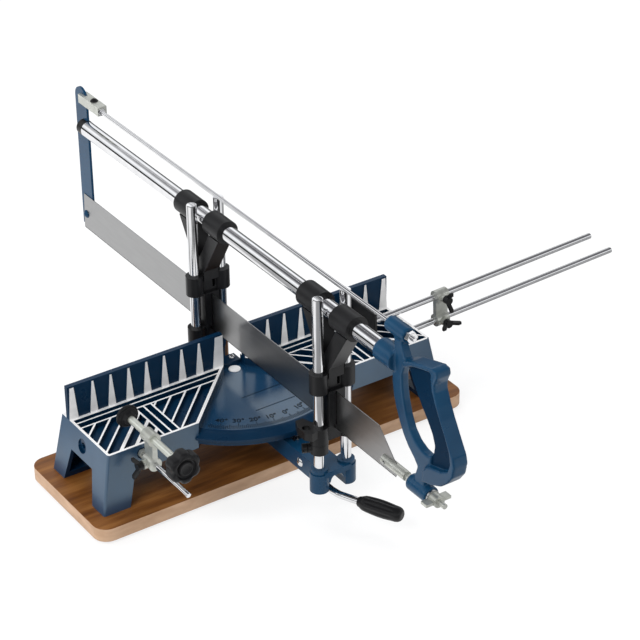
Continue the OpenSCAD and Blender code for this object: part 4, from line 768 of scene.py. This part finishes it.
# %% Set the teeth
tip_share = 0.25
teeth = bmesh.new()
half_blade = (blade_high.x - blade_low.x) / 2
blade_length = blade_high.y - blade_low.y
tooth_count = int(blade_length / tooth_pitch)
first_tooth = blade_low.y + (blade_length - tooth_count * tooth_pitch) / 2
for step in range(tooth_count):
    y = first_tooth + step * tooth_pitch
    outline = [(y, root_z), (y + tooth_pitch, root_z), (y + tooth_pitch * tip_share, blade_low.z)]
    sides = [[teeth.verts.new((side, *point)) for point in outline] for side in (-half_blade, half_blade)]
    teeth.faces.new(sides[0])
    teeth.faces.new(sides[1][::-1])
    for here in range(3):
        after = (here + 1) % 3
        teeth.faces.new((sides[0][here], sides[1][here], sides[1][after], sides[0][after]))
bmesh.ops.recalc_face_normals(teeth, faces=teeth.faces)
put("saw_blade_teeth", teeth, tooth_steel, body_holding("saw_blade"))
print("teeth:", tooth_count)

# %% [markdown]
# ## The handle's paint
# The handle is one aluminium casting: a flat front strut, a thin web and a thick round rim for the
# palm. The web lies deep between strut and rim, so little light reaches its flat sides. A second
# piece with a darker paint would leave a seam. Here the paint itself carries painted shade: it grows
# darker and duller where a face looks sideways and lies close to the handle's middle plane.

# %% Painted shade on the handle's web
web_half = 2.6 * mm
web_facing = 0.8
edge_facing = 0.5
# Tones of the painted shade on the web's flat sides.
painted_web_shade_dark = (0.001, 0.014, 0.036)
painted_web_shade_light = (0.002, 0.019, 0.048)
handle_gloss = 0.30
web_gloss = 0.03
handle_paint = make_paint("blue paint on the handle, painted web shade", *blue, handle_gloss)
tree = handle_paint.node_tree
shader = tree.nodes["Principled BSDF"]
plain = shader.inputs["Base Color"].links[0].from_socket
beside = between(tree, length_of(tree, coordinates(tree, (1, 0, 0))), web_half, 1.3 * web_half)
sideways = length_of(tree, coordinates(tree, (1, 0, 0), source="Normal"))
turned_away = between(tree, sideways, web_facing, edge_facing)
off_web = calculate(tree, "MAXIMUM", beside, turned_away)
cloud = noise(tree, coordinates(tree), paint_cloud, 4)
shade = blend_colours(tree, cloud, [(0.25, painted_web_shade_dark), (0.75, painted_web_shade_light)])
tree.links.new(mix_colours(tree, off_web, shade, plain), shader.inputs["Base Color"])
tree.links.new(spread(tree, off_web, web_gloss, handle_gloss), shader.inputs["Specular IOR Level"])
tree.links.new(spread(tree, off_web, 0.0, paint_coat), shader.inputs["Coat Weight"])
print("web darker within", round(web_half / mm, 1), "mm of the middle")

# %% [markdown]
# ## The handle's shape
# Castings have soft fillets where walls meet. A bevel rounds the outer edges well, but it often
# fails in the corners where a strut, a web and a rim cross. Remeshing the solid into small even
# cells and smoothing them treats every edge and corner alike, and melts the joints together.

# %% Melt the handle's joints together
cell = 0.75 * mm
melting_rounds = 20
handle = put("handle_dressed", clean_copy("handle"), handle_paint, body_holding("handle"),
             replaces=["handle"])
handle.modifiers.remove(handle.modifiers["face normals"])
even_cells = handle.modifiers.new("even cells", "REMESH")
even_cells.mode = "VOXEL"
even_cells.voxel_size = cell
even_cells.use_smooth_shade = True
melt = handle.modifiers.new("melt", "SMOOTH")
melt.factor = 0.5
melt.iterations = melting_rounds
print("handle melted from cells of", round(cell / mm, 2), "mm")

# %% [markdown]
# ## Turned parts
# Posts, tube, rods, knob, pad and grip are round about an axis. The CAD solids have few sides, and
# chrome would show each of them. Smoothing can't bend a straight outline, so each part is made
# again as on a lathe: a profile carried round the axis in many narrow steps. Lobes and flutes are
# made by pulling the outline inwards at even angles.

# %% A turned shape on a node's own axis
turned_sides = 96


def measure_along(node, direction):
    """Where a node starts along a direction, its length there and its radius."""
    along = Vector(direction).normalized()
    side = along.cross(Vector((0, 0, 1))).normalized()
    rise = side.cross(along)
    points = [vertex.co for vertex in nodes[node].data.vertices]
    reach = [[point.dot(axis) for point in points] for axis in (along, side, rise)]
    low = [min(values) for values in reach]
    high = [max(values) for values in reach]
    start = along * low[0] + side * (low[1] + high[1]) / 2 + rise * (low[2] + high[2]) / 2
    place = Matrix((side, rise, along)).transposed().to_4x4()
    place.translation = start
    return place, high[0] - low[0], (high[2] - low[2]) / 2


def turned(place, length, radius, profile, pull=None):
    """A bmesh turned from (radius share, length share) points; pull narrows it by angle."""
    shape = bmesh.new()
    rings = []
    for wide, far in profile:
        ring = []
        for step in range(turned_sides):
            angle = 2 * math.pi * step / turned_sides
            reach = wide * radius * (1 - pull(angle, wide, far) if pull else 1)
            spot = Vector((reach * math.cos(angle), reach * math.sin(angle), far * length))
            ring.append(shape.verts.new(place @ spot))
        rings.append(ring)
    for one, two in zip(rings, rings[1:]):
        for step in range(turned_sides):
            after = (step + 1) % turned_sides
            shape.faces.new((one[step], one[after], two[after], two[step]))
    shape.faces.new(rings[0][::-1])
    shape.faces.new(rings[-1])
    return shape


print("sides round each turned part:", turned_sides)

# %% [markdown]
# ## Tube and rods
# The tube, the tie rod, the clamp's rod and spindle, and the two rods of the length stop are
# straight bars with a small chamfer at each end. A cylinder could be placed for each of them by
# hand. One function is surer, because it takes place, length and radius from the node itself. The
# length stop's rods rise slightly away from the saw, so their axis is given as a direction.

# %% Turn the bars
def rod(node, direction, material, chamfer):
    """Replaces a node that is one straight round bar."""
    place, length, radius = measure_along(node, direction)
    step = chamfer / length
    narrow = 1 - chamfer / radius
    profile = [(narrow, 0), (1, step), (1, 1 - step), (narrow, 1)]
    put(node + "_turned", turned(place, length, radius, profile), material, body_holding(node),
        replaces=[node])


stop_rise = math.radians(2)
along_stop = (math.cos(stop_rise), 0, math.sin(stop_rise))
to_back = (0, 1, 0)
to_front = (0, -1, 0)
rod("saw_tube", to_back, chrome, 0.3 * mm)
rod("tie_rod", to_back, chrome, 0.3 * mm)
rod("clamp_rod", to_front, chrome, 0.6 * mm)
rod("clamp_spindle", to_front, pale_zinc, 0.4 * mm)
rod("stop_support_rod", along_stop, chrome, 0.7 * mm)
rod("stop_rod", along_stop, chrome, 0.7 * mm)
print("stop rods rise by", round(math.degrees(stop_rise)), "degrees")

# %% [markdown]
# ## The posts
# The four posts stand in pairs on the arm. Their upper ends are rounded, so that the guides can
# be slipped over them. Each post could be a piece of its own, but a pair is one CAD node, so both
# go into one mesh. The node's box gives the height, the radius and the places of the two axes.

# %% Turn the posts
foot_share = 0.94
foot_chamfer = 0.3 * mm
head_rounding = 0.9 * mm
shoulder_share = 0.3
for node in ("front_posts", "rear_posts"):
    low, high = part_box(node)
    radius = (high.y - low.y) / 2
    length = high.z - low.z
    shoulder = shoulder_share * head_rounding
    profile = [(foot_share, 0), (1, foot_chamfer / length), (1, 1 - head_rounding / length),
               (1 - shoulder / radius, 1 - shoulder / length), (1 - head_rounding / radius, 1)]
    pair = bmesh.new()
    for middle_x in (low.x + radius, high.x - radius):
        place = Matrix.Translation((middle_x, (low.y + high.y) / 2, low.z))
        post = turned(place, length, radius, profile)
        flat = bpy.data.meshes.new("post")
        post.to_mesh(flat)
        post.free()
        pair.from_mesh(flat)
        bpy.data.meshes.remove(flat)
    put(node + "_turned", pair, chrome, body_holding(node), replaces=[node])
print("posts", round(length / mm, 1), "mm long,", round(2 * radius / mm, 1), "mm thick")

# %% [markdown]
# ## The clamp's knob
# The knob has six hollows for the fingers and a dished face with a raised middle. Cutting six
# round hollows out of a disc would leave sharp ridges. A cosine of six times the angle pulls the
# outer wall inwards and lets it come back smoothly, as on a moulded knob.

# %% Turn the knob
lobes = 6
hollow_share = 0.15
outer_wall = 0.8


def knob_pull(angle, wide, far):
    """Finger hollows on the knob's outer wall."""
    hollow = ((1 + math.cos(lobes * angle)) / 2) ** 2
    return hollow_share * hollow if wide > outer_wall else 0.0


place, length, radius = measure_along("clamp_knob", to_front)
knob_profile = [(0.30, 0.0), (0.82, 0.0), (0.94, 0.05), (0.99, 0.16), (1.0, 0.30), (1.0, 0.78),
                (0.97, 0.90), (0.90, 0.97), (0.82, 1.0), (0.70, 1.0), (0.66, 0.97), (0.64, 0.88),
                (0.60, 0.80), (0.50, 0.79), (0.46, 0.83), (0.44, 0.93), (0.40, 0.96), (0.33, 0.96),
                (0.30, 0.92), (0.27, 0.89), (0.05, 0.88)]
put("clamp_knob_dressed", turned(place, length, radius, knob_profile, pull=knob_pull), plastic,
    body_holding("clamp_knob"), replaces=["clamp_knob"], sharp=50)
print("knob", round(2 * radius / mm, 1), "mm across, hollows:", lobes)

# %% [markdown]
# ## The clamp's pad
# The pad presses on the work: a disc with a rim, on a neck that holds the spindle's end. It could
# be put together from discs, but then each step would need a fillet. It is moulded in one piece,
# so one profile holds the rim, the step behind it and the neck.

# %% Turn the pad
place, length, radius = measure_along("clamp_pad", to_front)
pad_profile = [(0.30, 0.0), (0.55, 0.0), (0.57, 0.03), (0.72, 0.03), (0.74, 0.0), (0.96, 0.0),
               (1.0, 0.06), (1.0, 0.26), (0.96, 0.34), (0.84, 0.38), (0.82, 0.50), (0.62, 0.56),
               (0.55, 0.64), (0.54, 0.92), (0.50, 1.0), (0.25, 1.0)]
put("clamp_pad_dressed", turned(place, length, radius, pad_profile), plastic,
    body_holding("clamp_pad"), replaces=["clamp_pad"], sharp=40)
print("pad", round(2 * radius / mm, 1), "mm across")

# %% [markdown]
# ## The lever's grip
# The grip is a long plastic drop with eight shallow flutes that run out before its ends. Its
# belly could be drawn by hand from many points, but a sine is even and needs only a few values.
# The flutes are pulled in as on the knob, and fade towards both ends.

# %% Turn the grip
grip_turn = math.radians(25)
flutes = 8
flute_share = 0.10
flute_middle = 0.52
flute_reach = 0.36
belly_start = 0.20
belly_reach = 0.62
belly_step = 0.04
belly_points = 16
waist = 0.90


def grip_pull(angle, wide, far):
    """Flutes that fade towards both ends of the grip."""
    groove = ((1 + math.cos(flutes * angle)) / 2) ** 2
    fade = max(0.0, 1 - ((far - flute_middle) / flute_reach) ** 4)
    return flute_share * groove * fade


place, length, radius = measure_along("lever_grip", (math.sin(grip_turn), -math.cos(grip_turn), 0))
grip_profile = [(0.50, 0.0), (0.58, 0.02), (0.62, 0.05), (0.72, 0.09), (0.84, 0.14),
                (waist, belly_start)]
for step in range(1, belly_points + 1):
    far = belly_start + step * belly_step
    swell = math.sin(math.pi * min(1.0, (far - belly_start) / belly_reach))
    grip_profile.append((waist + (1 - waist) * swell, far))
grip_profile += [(0.87, 0.89), (0.80, 0.94), (0.66, 0.98), (0.50, 1.0), (0.20, 1.0)]
put("lever_grip_dressed", turned(place, length, radius, grip_profile, pull=grip_pull), plastic,
    body_holding("lever_grip"), replaces=["lever_grip"], sharp=60)
print("grip", round(length / mm, 1), "mm long, flutes:", flutes)
